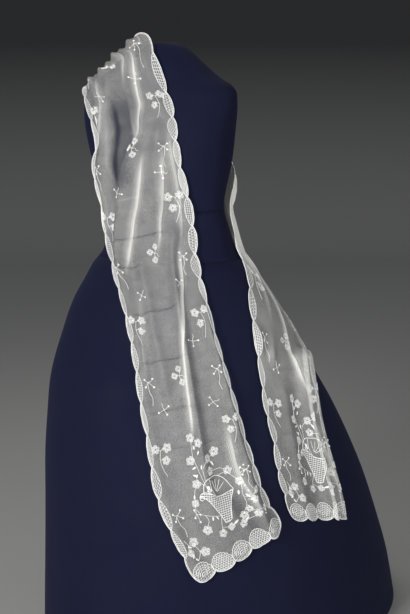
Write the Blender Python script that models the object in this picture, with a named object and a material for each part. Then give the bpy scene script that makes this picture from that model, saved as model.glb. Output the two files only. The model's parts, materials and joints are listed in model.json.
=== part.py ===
"""Lace shawl on a limbless dress form: one band of embroidered net, 0.27 m wide
and about 2.68 m long, hung over the form's right shoulder.

One end falls down the front and slants over the skirt, the other crosses the
back, comes round the far hip and falls down the side of the skirt. The form
faces -Y and stands on Z = 0, with the centre of its skirt's hem at the origin.
Every size in the tables is in millimetres, and the model is in metres.
"""

from collections import namedtuple

import bmesh
import bpy
import numpy as np

MM = 0.001

# The band's cut, laid flat.
BAND_WIDTH = 270 * MM  # over the tips of the border's scallops
BORDER_SCALLOPS = 39  # along each long side
SCALLOP_DEPTH = 8 * MM
HEM_SCALLOPS = 5
HEM_SCALLOP_DEPTH = 11 * MM
HEM_FADE = 120 * MM  # how far up the band the hem's scallops bend the rows

# The wall.
NET_THICKNESS = 1.2 * MM
BORDER_THICKNESS = 2.0 * MM  # piped cord and dense stitching
BORDER_WIDTH = 26 * MM
SEAM = 0.45 * MM  # between one stretch and the next: 0.3 mm where the wall twists most

# How finely the solids are cut.
BAND_COLUMNS = 26
BAND_ROW = 25 * MM
CREASE_PULL = 1.2  # how strongly the columns gather where the cloth bends
FORM_SIDES = 40
SKIRT_SIDES = 56
TALLEST_FOLD = 30 * MM
STEEPEST_FOLD = 1.45  # rise over run

# The dress form: a horizontal section at each height, a superellipse.
Section = namedtuple("Section", "height half_width half_depth x y squareness")
FORM = [
    Section(0, 430, 615, 0, 0, 2.0),
    Section(120, 420, 590, 0, -25, 2.0),
    Section(240, 405, 553, 0, -62, 2.0),
    Section(375, 387, 504, 0, -111, 2.0),
    Section(500, 368, 445, 0, -168, 2.0),
    Section(600, 349, 385, 0, -214, 2.0),
    Section(700, 319, 334, 0, -262, 2.0),
    Section(800, 284, 265, 0, -290, 2.0),
    Section(880, 248, 215, 0, -311, 2.0),
    Section(930, 217, 183, 0, -318, 2.0),
    Section(965, 197, 155, 0, -323, 2.0),
    Section(1000, 166, 128, 0, -331, 2.05),
    Section(1045, 154, 108, 0, -337, 2.1),
    Section(1100, 146, 98, -6, -341, 2.1),
    Section(1150, 155, 108, -10, -345, 2.2),
    Section(1200, 167, 120, -12, -346, 2.3),
    Section(1250, 176, 124, -14, -348, 2.4),
    Section(1300, 185, 118, -15, -351, 2.4),
    Section(1345, 192, 102, -15, -351, 2.3),
    Section(1372, 193, 92, -15, -351, 2.2),
    Section(1390, 183, 84, -15, -351, 2.1),
    Section(1405, 157, 78, -15, -350, 2.0),
    Section(1450, 100, 64, -15, -349, 2.0),
    Section(1475, 70, 50, -15, -348, 2.0),
    Section(1490, 42, 42, -14, -347, 2.0),
]
WAISTBAND = (985 * MM, 1100 * MM)
FORM_TOP = FORM[-1].height * MM

# Where the band lies: its two borders at each station, from the front hem over
# the shoulder and round the back to the other hem. A turn is in degrees round
# the form from its front, towards its right arm, and out is the distance from
# the form. The outer border is the one nearer the arm.
Station = namedtuple(
    "Station", "outer_turn outer_height outer_out inner_turn inner_height inner_out"
)
STATIONS = [
    Station(-20, 262, 10, -49, 374, 10),  # 0, front hem
    Station(-17, 338, 9, -46, 439, 9),
    Station(-14, 411, 8, -45, 495, 8),
    Station(-12, 478, 8, -45, 548, 8),
    Station(-11, 549, 8, -45, 606, 8),
    Station(-10, 631, 8, -46, 674, 8),  # 5
    Station(-8, 718, 8, -46, 742, 8),
    Station(-3, 801, 8, -46, 825, 8),
    Station(6, 888, 9, -47, 920, 8),
    Station(25, 962, 14, -50, 990, 12),
    Station(46, 1024, 24, -53, 1053, 16),  # 10
    Station(56, 1082, 26, -54, 1110, 16),
    Station(58, 1140, 22, -48, 1174, 11),
    Station(56, 1200, 14, -43, 1237, 8),
    Station(45, 1259, 9, -42, 1285, 7),
    Station(59, 1324, 8, -41, 1333, 7),  # 15
    Station(74, 1366, 8, -37, 1382, 7),
    Station(83, 1384, 10, -25, 1446, 10),
    Station(91, 1381, 11, 6, 1512, 20),  # 18, over the shoulder
    Station(99, 1358, 10, 54, 1510, 16),
    Station(108, 1317, 9, 111, 1486, 11),  # 20
    Station(119, 1268, 8, 148, 1442, 9),
    Station(132, 1210, 8, 172, 1392, 8),
    Station(148, 1150, 12, 194, 1338, 8),
    Station(167, 1094, 20, 214, 1282, 9),
    Station(187, 1046, 24, 230, 1228, 13),  # 25
    Station(204, 1006, 26, 242, 1180, 19),
    Station(213, 962, 18, 249, 1142, 16),
    Station(219, 915, 13, 254, 1102, 13),  # 28, comes round the hip
    Station(222, 860, 10, 258, 1054, 9),
    Station(228, 812, 8, 266, 1000, 6),  # 30
    Station(235, 775, 7, 279, 943, 6),
    Station(243, 755, 7, 288, 891, 6),
    Station(251, 742, 7, 293, 842, 7),
    Station(259, 739, 7, 297, 791, 8),
    Station(265, 700, 7, 299, 738, 8),  # 35
    Station(271, 655, 8, 302, 685, 8),
    Station(276, 602, 8, 304, 634, 8),
    Station(278, 550, 8, 305, 583, 8),
    Station(279, 497, 8, 307, 531, 8),
    Station(280, 444, 8, 308, 480, 8),  # 40
    Station(281, 392, 9, 308, 430, 9),
    Station(283, 342, 10, 308, 380, 10),  # 42, the other hem
]
SHOULDER_STATION = 20.5  # behind the shoulder, where the front fall ends
HIP_STATION = 25.0  # behind the far hip, where the side fall begins

# The folds, as ridges: from one station to another, with the place of the ridge
# across the band (0 at the outer border, 1 at the inner one) at its start,
# middle and end. Width is half the ridge's, as a share of the band's. Height is
# relative: each row's folds take up just what the band's width leaves over.
# Lean tips the crest towards the inner border.
Fold = namedtuple("Fold", "start end at_start at_middle at_end width height lean")
FOLDS = [
    # front fall, from the hem up
    Fold(-1, 4, 0.80, 0.86, 0.92, 0.080, 1.0, 0.0),
    Fold(-1, 3, 0.38, 0.40, 0.46, 0.130, 0.4, 0.0),
    Fold(-1, 9, 0.06, 0.08, 0.12, 0.065, 0.6, 0.0),
    Fold(1.5, 11, 0.48, 0.58, 0.84, 0.060, 1.0, 0.1),
    Fold(2.5, 8.5, 0.90, 0.91, 0.94, 0.060, 0.9, 0.1),
    Fold(5, 10, 0.32, 0.33, 0.44, 0.070, 0.6, 0.0),
    Fold(8, 14.5, 0.10, 0.30, 0.64, 0.065, 1.1, 0.0),
    Fold(8.5, 15, 0.62, 0.72, 0.84, 0.065, 0.8, 0.0),
    Fold(10, 19.5, 0.06, 0.20, 0.20, 0.070, 1.0, 0.0),
    Fold(13.5, 20, 0.52, 0.64, 0.65, 0.055, 1.0, 0.1),
    Fold(15, 20, 0.40, 0.43, 0.42, 0.055, 0.8, 0.0),
    Fold(14.5, 21, 0.86, 0.88, 0.87, 0.060, 0.8, 0.0),
    # back wrap
    Fold(18.5, 27, 0.10, 0.14, 0.12, 0.060, 1.0, 0.0),
    Fold(18.5, 28, 0.32, 0.33, 0.32, 0.060, 0.9, 0.0),
    Fold(18.5, 29, 0.54, 0.52, 0.52, 0.060, 1.0, 0.0),
    Fold(18.5, 30, 0.75, 0.72, 0.70, 0.060, 0.9, 0.0),
    Fold(19.5, 28, 0.93, 0.90, 0.88, 0.055, 0.8, 0.0),
    # side fall, from the hip down to the hem, doubled back along its middle
    Fold(26, 33, 0.10, 0.12, 0.10, 0.060, 1.0, 0.0),
    Fold(26.5, 33.5, 0.31, 0.27, 0.24, 0.060, 1.0, 0.0),
    Fold(27.5, 34, 0.50, 0.46, 0.42, 0.065, 0.3, 0.0),
    Fold(28.5, 35, 0.69, 0.74, 0.76, 0.060, 0.35, 0.0),
    Fold(29.5, 34.5, 0.88, 0.92, 0.92, 0.060, 0.8, 0.1),
    Fold(32.5, 43, 0.29, 0.31, 0.30, 0.075, 1.2, -0.1),
    Fold(32, 43, 0.08, 0.09, 0.08, 0.070, 1.0, 0.0),
    Fold(35, 43, 0.62, 0.68, 0.72, 0.100, 0.3, 0.0),
]
FOLD_FADE = 1.1  # stations over which a fold rises from nothing
FOLD_MERGE = 2.5  # above 1, folds that meet run together and do not pile up

NAVY = (0.0103, 0.0144, 0.0512, 1.0)
IVORY = (0.8796, 0.8632, 0.8070, 1.0)


def smooth_through(places, values, at):
    """A curve through the values that never overshoots them (monotone cubic)."""
    places, values = np.asarray(places, float), np.asarray(values, float)
    step = np.diff(places)
    slope = np.diff(values) / step
    bend = np.zeros_like(values)
    bend[0], bend[-1] = slope[0], slope[-1]
    same_way = slope[:-1] * slope[1:] > 0
    first, second = 2 * step[1:] + step[:-1], step[1:] + 2 * step[:-1]
    with np.errstate(divide="ignore", invalid="ignore"):
        mean = (first + second) / (first / slope[:-1] + second / slope[1:])
    bend[1:-1] = np.where(same_way, mean, 0)
    at = np.clip(at, places[0], places[-1])
    i = np.clip(np.searchsorted(places, at, side="right") - 1, 0, len(step) - 1)
    t, h = (at - places[i]) / step[i], step[i]
    return (
        (2 * t**3 - 3 * t**2 + 1) * values[i]
        + (t**3 - 2 * t**2 + t) * h * bend[i]
        + (3 * t**2 - 2 * t**3) * values[i + 1]
        + (t**3 - t**2) * h * bend[i + 1]
    )


def column(table, name):
    return np.array([getattr(row, name) for row in table], float)


def round_the_form(turn, height, out):
    """The points this far out from the form's surface, at these turns (in
    radians) and heights (in metres)."""
    a, b, x, y, n = (
        smooth_through(column(FORM, "height") * MM, column(FORM, name), height)
        for name in ("half_width", "half_depth", "x", "y", "squareness")
    )
    side, front = np.sin(turn), np.cos(turn)
    reach = (np.abs(side / a) ** n + np.abs(front / b) ** n) ** (-1 / n) * MM + out
    return np.stack(
        [x * MM - reach * side, y * MM - reach * front, height + 0 * reach], axis=-1
    )


def smooth_step(t):
    t = np.clip(t, 0, 1)
    return t * t * (3 - 2 * t)


def blur(grid, passes, axis=0):
    """The grid evened out along one axis, with its ends kept."""
    grid = np.moveaxis(grid, axis, 0).copy()
    for _ in range(passes):
        grid[1:-1] = (grid[:-2] + 2 * grid[1:-1] + grid[2:]) / 4
    return np.moveaxis(grid, 0, axis)


def unit(vectors):
    return vectors / np.linalg.norm(vectors, axis=-1, keepdims=True)


def lengths(points, axis):
    """The distance run along an axis of a grid of points, from its start."""
    steps = np.linalg.norm(np.diff(points, axis=axis), axis=-1)
    start = np.zeros_like(np.take(steps, [0], axis=axis))
    return np.cumsum(np.concatenate([start, steps], axis=axis), axis=axis)


def resample_rows(rows, run, wanted):
    """Each row of points read off at the wanted distances along it."""
    return np.stack(
        [
            np.stack([np.interp(w, r, row[:, k]) for k in range(3)], axis=-1)
            for row, r, w in zip(rows, run, wanted)
        ]
    )


def fold_heights(stations, across):
    """The folds' relative height and lean, for each station and each place
    across the band."""
    height = np.zeros((len(stations), len(across)))
    lean = np.zeros_like(height)
    for fold in FOLDS:
        t = np.clip((stations - fold.start) / (fold.end - fold.start), 0, 1)
        at = (
            (1 - t) ** 2 * fold.at_start
            + 2 * t * (1 - t) * (2 * fold.at_middle - (fold.at_start + fold.at_end) / 2)
            + t**2 * fold.at_end
        )
        there = smooth_step((stations - fold.start) / FOLD_FADE) * smooth_step(
            (fold.end - stations) / FOLD_FADE
        )
        ridge = np.exp(-(np.abs((across - at[:, None]) / fold.width) ** 1.8))
        ridge *= (fold.height * there)[:, None]
        height += ridge**FOLD_MERGE
        lean += ridge * fold.lean
    height = height ** (1 / FOLD_MERGE)
    return height, lean


def folded(base, normals, sideways, height, lean, scale):
    scale = scale[:, None, None]
    return base + scale * (height[..., None] * normals + lean[..., None] * sideways)


class Drape:
    """The hanging band, as a table of points that is even along and across the
    cloth: at(across, along) gives the place of a point of the flat band, in
    metres from its middle line and from its front hem."""

    ROWS, COLUMNS = 1201, 129

    def __init__(self):
        stations = np.linspace(0, len(STATIONS) - 1, self.ROWS)
        across = np.linspace(0, 1, self.COLUMNS)
        base = self.base(stations, across)
        normals = self.normals(base, 40, 12)
        sideways = unit(np.gradient(base, axis=1))
        height, lean = fold_heights(stations, across)
        scale = self.fold_scale(base, normals, sideways, height, lean)
        points = folded(base, normals, sideways, height, lean, scale)

        run = lengths(points, 1)
        share = np.linspace(0, 1, self.COLUMNS)
        points = resample_rows(points, run, run[:, -1:] * share)
        along = lengths(points, 0).mean(axis=1)
        self.length = along[-1]
        self.along_at_station = lambda station: np.interp(station, stations, along)
        evenly = np.linspace(0, self.length, self.ROWS)
        self.table = np.moveaxis(
            resample_rows(
                np.moveaxis(points, 1, 0),
                [along] * self.COLUMNS,
                [evenly] * self.COLUMNS,
            ),
            0,
            1,
        )
        self.facing_table = self.normals(self.table, 2, 1)
        bend = np.linalg.norm(np.diff(self.table, n=2, axis=1), axis=-1)
        bend = blur(blur(np.pad(bend, ((0, 0), (1, 1))), 300), 8, axis=1)
        self.bend_table = bend / bend.mean(axis=1, keepdims=True)

    @staticmethod
    def base(stations, across):
        """The band with no folds, lying round the form."""
        numbers = np.arange(len(STATIONS))
        ends = {
            name: smooth_through(numbers, column(STATIONS, name), stations)[:, None]
            for name in Station._fields
        }
        turn, height, out = (
            ends["outer_" + name] * (1 - across) + ends["inner_" + name] * across
            for name in ("turn", "height", "out")
        )
        base = round_the_form(np.radians(turn), height * MM, out * MM)
        base = blur(blur(base, 90), 300, axis=1)
        run = lengths(base, 1)
        return resample_rows(base, run, run[:, -1:] * across)

    @staticmethod
    def normals(points, passes_along, passes_across):
        """Which way the cloth faces, away from the form, evened out."""
        along, over = np.gradient(points, axis=0), np.gradient(points, axis=1)
        normals = unit(np.cross(over, along))
        return unit(blur(blur(normals, passes_along), passes_across, axis=1))

    @staticmethod
    def fold_scale(base, normals, sideways, height, lean):
        """How far to raise each row's folds so that they take up the cloth."""
        spacing = lengths(base, 1)[:, -1:] / (base.shape[1] - 1)
        rise = np.abs(np.gradient(height, axis=1) / spacing).max(axis=1)
        low = np.zeros(len(base))
        high = np.minimum(TALLEST_FOLD, STEEPEST_FOLD / rise)
        for _ in range(30):
            middle = (low + high) / 2
            points = folded(base, normals, sideways, height, lean, middle)
            short = lengths(points, 1)[:, -1] < BAND_WIDTH
            low, high = np.where(short, middle, low), np.where(short, high, middle)
        return blur(low, 80)

    def at(self, across, along):
        return self.read(self.table, across, along)

    def facing(self, across, along):
        return unit(self.read(self.facing_table, across, along))

    def columns(self, count, along):
        """For each row, the shares of the width (-1 to 1) where this many columns
        stand: even, but closer together where the cloth bends."""
        even = np.linspace(0, 1, self.COLUMNS)
        rows = np.clip(np.rint(along / self.length * (self.ROWS - 1)), 0, self.ROWS - 1)
        shares = []
        for bend in self.bend_table[rows.astype(int)]:
            pull = np.cumsum(1 + CREASE_PULL * bend)
            pull = (pull - pull[0]) / (pull[-1] - pull[0])
            shares.append(np.interp(np.linspace(0, 1, count + 1), pull, even) * 2 - 1)
        return np.array(shares)

    def read(self, table, across, along):
        across, along = np.broadcast_arrays(across, along)
        column_at = np.clip(across / BAND_WIDTH + 0.5, 0, 1) * (self.COLUMNS - 1)
        row_at = np.clip(along / self.length, 0, 1) * (self.ROWS - 1)
        i = np.minimum(row_at.astype(int), self.ROWS - 2)
        j = np.minimum(column_at.astype(int), self.COLUMNS - 2)
        s, t = (row_at - i)[..., None], (column_at - j)[..., None]
        return (
            (1 - s) * ((1 - t) * table[i, j] + t * table[i, j + 1])
            + s * ((1 - t) * table[i + 1, j] + t * table[i + 1, j + 1])
        )


def scallop(place, pitch):
    """0 at the tip of a scallop, and 1 in the notch between two."""
    return 1 - np.abs(np.sin(np.pi * place / pitch)) ** 0.6


def flat_outline(share, along, length):
    """The flat place of a point of the band: its share of the width, from -1 at
    the outer border to 1 at the inner one, and its row's distance from the hem.
    Borders and hems are scalloped."""
    half = BAND_WIDTH / 2 - SCALLOP_DEPTH * scallop(along, length / BORDER_SCALLOPS)
    hem = HEM_SCALLOP_DEPTH * scallop(share + 1, 2 / HEM_SCALLOPS)
    start = smooth_step(1 - along / HEM_FADE)
    end = smooth_step(1 - (length - along) / HEM_FADE)
    return share * half, along + hem * (start - end)


def material(name, colour, roughness):
    made = bpy.data.materials.new(name)
    made.use_nodes = True
    shader = made.node_tree.nodes["Principled BSDF"]
    shader.inputs["Base Color"].default_value = colour
    shader.inputs["Roughness"].default_value = roughness
    shader.inputs["Metallic"].default_value = 0.0
    made.diffuse_color = colour
    return made


def object_from(mesh_builder, name, look, collection):
    mesh = bpy.data.meshes.new(name)
    mesh_builder.to_mesh(mesh)
    mesh_builder.free()
    mesh.materials.append(look)
    made = bpy.data.objects.new(name, mesh)
    collection.objects.link(made)
    return made


def make_stretch(drape, name, start, end, collection):
    """One stretch of the band: a grid hung on the form, a second one behind it,
    and a rim that joins them all round."""
    rows = max(2, round((end - start) / BAND_ROW))
    cloth = bmesh.new()
    bmesh.ops.create_grid(
        cloth, x_segments=BAND_COLUMNS, y_segments=rows, size=1.0, calc_uvs=False
    )
    front = list(cloth.verts)
    row_of, column_of = (
        np.rint((np.array([vert.co[axis] for vert in front]) + 1) / 2 * count).astype(int)
        for axis, count in ((1, rows), (0, BAND_COLUMNS))
    )
    rows_along = start + (end - start) * np.arange(rows + 1) / rows
    shares = drape.columns(BAND_COLUMNS, rows_along)[row_of, column_of]
    rows_along = np.clip(rows_along, start + SEAM / 2, end - SEAM / 2)
    across, along = flat_outline(shares, rows_along[row_of], drape.length)
    middle, facing = drape.at(across, along), drape.facing(across, along)
    for vert, place in zip(front, middle):
        vert.co = place
    # Both sides are split into the same triangles, so they stay a wall apart.
    bmesh.ops.triangulate(cloth, faces=cloth.faces[:], quad_method="SHORT_EDGE")

    copied = bmesh.ops.duplicate(cloth, geom=cloth.faces[:])["vert_map"]
    back = [copied[vert] for vert in front]
    bmesh.ops.reverse_faces(cloth, faces=list({f for v in back for f in v.link_faces}))
    from_edge = np.minimum.reduce(
        [BAND_WIDTH / 2 - np.abs(across), along, drape.length - along]
    )
    wall = np.where(from_edge < BORDER_WIDTH, BORDER_THICKNESS, NET_THICKNESS)
    half_wall = facing * wall[:, None] / 2
    for verts, places in ((front, middle + half_wall), (back, middle - half_wall)):
        for vert, place in zip(verts, places):
            vert.co = place
    rim = [edge for edge in cloth.edges if edge.is_boundary]
    bmesh.ops.bridge_loops(cloth, edges=rim)
    bmesh.ops.recalc_face_normals(cloth, faces=cloth.faces[:])
    look = material(name + "_cotton_net", IVORY, 0.85)
    return object_from(cloth, name, look, collection)


def make_form_piece(name, heights, sides, roughness, collection):
    """A closed length of the dress form, lofted through its sections."""
    body = bmesh.new()
    turns = np.linspace(0, 2 * np.pi, sides, endpoint=False)
    rings = []
    for height in heights:
        capped = height in (heights[0], heights[-1])
        ring = bmesh.ops.create_circle(
            body, segments=sides, radius=1.0, cap_ends=capped
        )["verts"]
        for vert, place in zip(ring, round_the_form(turns, height, 0.0)):
            vert.co = place
        rings.append(ring)
    for lower, upper in zip(rings, rings[1:]):
        loops = [e for ring in (lower, upper) for e in ring_edges(ring)]
        bmesh.ops.bridge_loops(body, edges=loops)
    bmesh.ops.recalc_face_normals(body, faces=body.faces)
    look = material(name + "_navy_cloth", NAVY, roughness)
    return object_from(body, name, look, collection)


def ring_edges(ring):
    members = set(ring)
    edges = {edge for vert in ring for edge in vert.link_edges}
    return [edge for edge in edges if set(edge.verts) <= members]


def heights_between(low, high, spacing):
    """Section heights from low to high, about this far apart."""
    count = max(1, round((high - low) / spacing))
    return [low + (high - low) * i / count for i in range(count + 1)]


def main():
    for old in list(bpy.data.objects):
        bpy.data.objects.remove(old, do_unlink=True)
    collection = bpy.data.collections.new("lace_shawl_on_dress_form")
    bpy.context.scene.collection.children.link(collection)

    band_low, band_high = WAISTBAND
    make_form_piece(
        "form_skirt",
        heights_between(0.0, band_low - SEAM, 75 * MM),
        SKIRT_SIDES,
        0.85,
        collection,
    )
    make_form_piece(
        "form_waistband",
        heights_between(band_low, band_high, 29 * MM),
        FORM_SIDES,
        0.7,
        collection,
    )
    make_form_piece(
        "form_torso",
        heights_between(band_high + SEAM, 1.36, 43 * MM)
        + [1.375, 1.385, 1.395, 1.405, 1.425, 1.45, 1.465, 1.48, FORM_TOP],
        FORM_SIDES,
        0.8,
        collection,
    )

    drape = Drape()
    shoulder = drape.along_at_station(SHOULDER_STATION)
    hip = drape.along_at_station(HIP_STATION)
    make_stretch(drape, "shawl_front_fall", 0.0, shoulder, collection)
    make_stretch(drape, "shawl_back_wrap", shoulder, hip, collection)
    make_stretch(drape, "shawl_side_fall", hip, drape.length, collection)


if __name__ == "__main__":
    main()
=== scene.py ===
"""Lace shawl on a dress form: a band of embroidered cotton net with scalloped borders.

The needlework is charted flat, in millimetres across and along the band, and then hung on the
same drape as the net, so that every thread follows the folds.
"""

import json
from collections import namedtuple
from functools import lru_cache
from math import cos, pi, radians, sin

import bmesh
import bpy
import numpy as np
from mathutils import Matrix, Vector

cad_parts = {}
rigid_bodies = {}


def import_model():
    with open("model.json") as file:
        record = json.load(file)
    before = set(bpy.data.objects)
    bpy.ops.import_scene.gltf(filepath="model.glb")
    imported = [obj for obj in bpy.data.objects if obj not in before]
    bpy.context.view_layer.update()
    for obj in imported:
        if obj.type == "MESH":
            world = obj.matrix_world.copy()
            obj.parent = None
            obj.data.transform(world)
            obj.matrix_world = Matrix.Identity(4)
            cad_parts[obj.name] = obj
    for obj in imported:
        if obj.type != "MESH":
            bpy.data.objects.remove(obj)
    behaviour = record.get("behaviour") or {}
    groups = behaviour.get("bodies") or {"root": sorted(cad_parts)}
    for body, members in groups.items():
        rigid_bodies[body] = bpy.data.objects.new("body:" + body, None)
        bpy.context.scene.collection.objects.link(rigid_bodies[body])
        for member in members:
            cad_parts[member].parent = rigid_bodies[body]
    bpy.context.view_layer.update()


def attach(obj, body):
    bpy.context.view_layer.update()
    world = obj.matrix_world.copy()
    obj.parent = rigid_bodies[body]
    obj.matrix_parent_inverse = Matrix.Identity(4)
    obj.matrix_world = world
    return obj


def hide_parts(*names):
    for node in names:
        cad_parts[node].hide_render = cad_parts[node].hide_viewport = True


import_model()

bl_info = {
    "name": "Lace Shawl",
    "version": (1, 0, 0),
    "blender": (4, 5, 0),
    "location": "View3D > Sidebar > Lace Shawl",
    "description": "Hangs an embroidered net shawl on a dress form",
    "category": "Object",
}

MM = 0.001
SHAWL_NODES = ("shawl_front_fall", "shawl_back_wrap", "shawl_side_fall")


def table(name, columns, rows):
    """Rows of numbers whose columns have names."""
    row = namedtuple(name, columns)
    return [row(*values) for values in rows]


# ---------------------------------------------------------------- the cut and the form
BAND_WIDTH = 270 * MM
BORDER_SCALLOPS = 39
SCALLOP_DEPTH = 8 * MM
SCALLOP_ROUNDNESS = 0.6  # below 1, so the tips are round and the notches between them sharp
HEM_SCALLOPS = 5
HEM_SCALLOP_DEPTH = 11 * MM
HEM_FADE = 120 * MM  # how far from a hem the net is drawn along with its scallops
WAISTBAND = (985 * MM, 1100 * MM)
PIECE_GAP = 0.45 * MM

# The form's sections, in millimetres: rounded ovals, with a squareness of 2 for an ellipse.
FORM = table("Section", "height half_width half_depth x y squareness", [
    (0, 430, 615, 0, 0, 2.0),
    (120, 420, 590, 0, -25, 2.0),
    (240, 405, 553, 0, -62, 2.0),
    (375, 387, 504, 0, -111, 2.0),
    (500, 368, 445, 0, -168, 2.0),
    (600, 349, 385, 0, -214, 2.0),
    (700, 319, 334, 0, -262, 2.0),
    (800, 284, 265, 0, -290, 2.0),
    (880, 248, 215, 0, -311, 2.0),
    (930, 217, 183, 0, -318, 2.0),
    (965, 197, 155, 0, -323, 2.0),
    (1000, 166, 128, 0, -331, 2.05),
    (1045, 154, 108, 0, -337, 2.1),
    (1100, 146, 98, -6, -341, 2.1),
    (1150, 155, 108, -10, -345, 2.2),
    (1200, 167, 120, -12, -346, 2.3),
    (1250, 176, 124, -14, -348, 2.4),
    (1300, 185, 118, -15, -351, 2.4),
    (1345, 192, 102, -15, -351, 2.3),
    (1372, 193, 92, -15, -351, 2.2),
    (1390, 183, 84, -15, -351, 2.1),
    (1405, 157, 78, -15, -350, 2.0),
    (1450, 100, 64, -15, -349, 2.0),
    (1475, 70, 50, -15, -348, 2.0),
    (1490, 42, 42, -14, -347, 2.0),
])
FORM_TOP = FORM[-1].height * MM

# The band's stations from its front hem to its far one: where its outer and inner borders lie, as
# degrees round the form from its front towards its right arm, a height, and a distance out from
# the form, in millimetres.
STATIONS = table("Station", "outer_turn outer_height outer_out inner_turn inner_height inner_out", [
    (-20, 262, 10, -49, 374, 10),  # 0, front hem
    (-17, 338, 9, -46, 439, 9),
    (-14, 411, 8, -45, 495, 8),
    (-12, 478, 8, -45, 548, 8),
    (-11, 549, 8, -45, 606, 8),
    (-10, 631, 8, -46, 674, 8),  # 5
    (-8, 718, 8, -46, 742, 8),
    (-3, 801, 8, -46, 825, 8),
    (6, 888, 9, -47, 920, 8),
    (25, 962, 14, -50, 990, 12),
    (46, 1024, 24, -53, 1053, 16),  # 10
    (56, 1082, 26, -54, 1110, 16),
    (58, 1140, 22, -48, 1174, 11),
    (56, 1200, 14, -43, 1237, 8),
    (45, 1259, 9, -42, 1285, 7),
    (59, 1324, 8, -41, 1333, 7),  # 15
    (74, 1366, 8, -37, 1382, 7),
    (83, 1384, 10, -25, 1446, 10),
    (91, 1381, 11, 6, 1512, 20),  # 18, over the shoulder
    (99, 1358, 10, 54, 1510, 16),
    (108, 1317, 9, 111, 1486, 11),  # 20
    (119, 1268, 8, 148, 1442, 9),
    (132, 1210, 8, 172, 1392, 8),
    (148, 1150, 12, 194, 1338, 8),
    (167, 1094, 20, 214, 1282, 9),
    (187, 1046, 24, 230, 1228, 13),  # 25
    (204, 1006, 26, 242, 1180, 19),
    (213, 962, 18, 249, 1142, 16),
    (219, 915, 13, 254, 1102, 13),  # 28, comes round the hip
    (222, 860, 10, 258, 1054, 9),
    (228, 812, 8, 266, 1000, 6),  # 30
    (235, 775, 7, 279, 943, 6),
    (243, 755, 7, 288, 891, 6),
    (251, 742, 7, 293, 842, 7),
    (259, 739, 7, 297, 791, 8),
    (265, 700, 7, 299, 738, 8),  # 35
    (271, 655, 8, 302, 685, 8),
    (276, 602, 8, 304, 634, 8),
    (278, 550, 8, 305, 583, 8),
    (279, 497, 8, 307, 531, 8),
    (280, 444, 8, 308, 480, 8),  # 40
    (281, 392, 9, 308, 430, 9),
    (283, 342, 10, 308, 380, 10),  # 42, the other hem
])

# Folds that run along the band: the stations where each starts and ends, its places across the
# band there and halfway, as shares of the width from the outer border, its width as such a share,
# how high it stands beside the others, and how far it leans towards the inner border.
FOLDS = table("Fold", "start end at_start at_middle at_end width height lean", [
    # front fall, from the hem up
    (-1, 4, 0.80, 0.86, 0.92, 0.080, 1.0, 0.0),
    (-1, 3, 0.38, 0.40, 0.46, 0.130, 0.4, 0.0),
    (-1, 9, 0.06, 0.08, 0.12, 0.065, 0.6, 0.0),
    (1.5, 11, 0.48, 0.58, 0.84, 0.060, 1.0, 0.1),
    (2.5, 8.5, 0.90, 0.91, 0.94, 0.060, 0.9, 0.1),
    (5, 10, 0.32, 0.33, 0.44, 0.070, 0.6, 0.0),
    (8, 14.5, 0.10, 0.30, 0.64, 0.065, 1.1, 0.0),
    (8.5, 15, 0.62, 0.72, 0.84, 0.065, 0.8, 0.0),
    (10, 19.5, 0.06, 0.20, 0.20, 0.070, 1.0, 0.0),
    (13.5, 20, 0.52, 0.64, 0.65, 0.055, 1.0, 0.1),
    (15, 20, 0.40, 0.43, 0.42, 0.055, 0.8, 0.0),
    (14.5, 21, 0.86, 0.88, 0.87, 0.060, 0.8, 0.0),
    # back wrap
    (18.5, 27, 0.10, 0.14, 0.12, 0.060, 1.0, 0.0),
    (18.5, 28, 0.32, 0.33, 0.32, 0.060, 0.9, 0.0),
    (18.5, 29, 0.54, 0.52, 0.52, 0.060, 1.0, 0.0),
    (18.5, 30, 0.75, 0.72, 0.70, 0.060, 0.9, 0.0),
    (19.5, 28, 0.93, 0.90, 0.88, 0.055, 0.8, 0.0),
    # side fall, from the hip down to the hem, doubled back along its middle
    (26, 33, 0.10, 0.12, 0.10, 0.060, 1.0, 0.0),
    (26.5, 33.5, 0.31, 0.27, 0.24, 0.060, 1.0, 0.0),
    (27.5, 34, 0.50, 0.46, 0.42, 0.065, 0.3, 0.0),
    (28.5, 35, 0.69, 0.74, 0.76, 0.060, 0.35, 0.0),
    (29.5, 34.5, 0.88, 0.92, 0.92, 0.060, 0.8, 0.1),
    (32.5, 43, 0.29, 0.31, 0.30, 0.075, 1.2, -0.1),
    (32, 43, 0.08, 0.09, 0.08, 0.070, 1.0, 0.0),
    (35, 43, 0.62, 0.68, 0.72, 0.100, 0.3, 0.0),
])
FOLD_FADE = 1.1  # stations over which a fold rises from nothing
FOLD_MERGE = 2.5  # above 1, folds that meet run together and do not pile up
FOLD_ROUNDNESS = 1.8
TALLEST_FOLD = 30 * MM
STEEPEST_FOLD = 1.45

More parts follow.
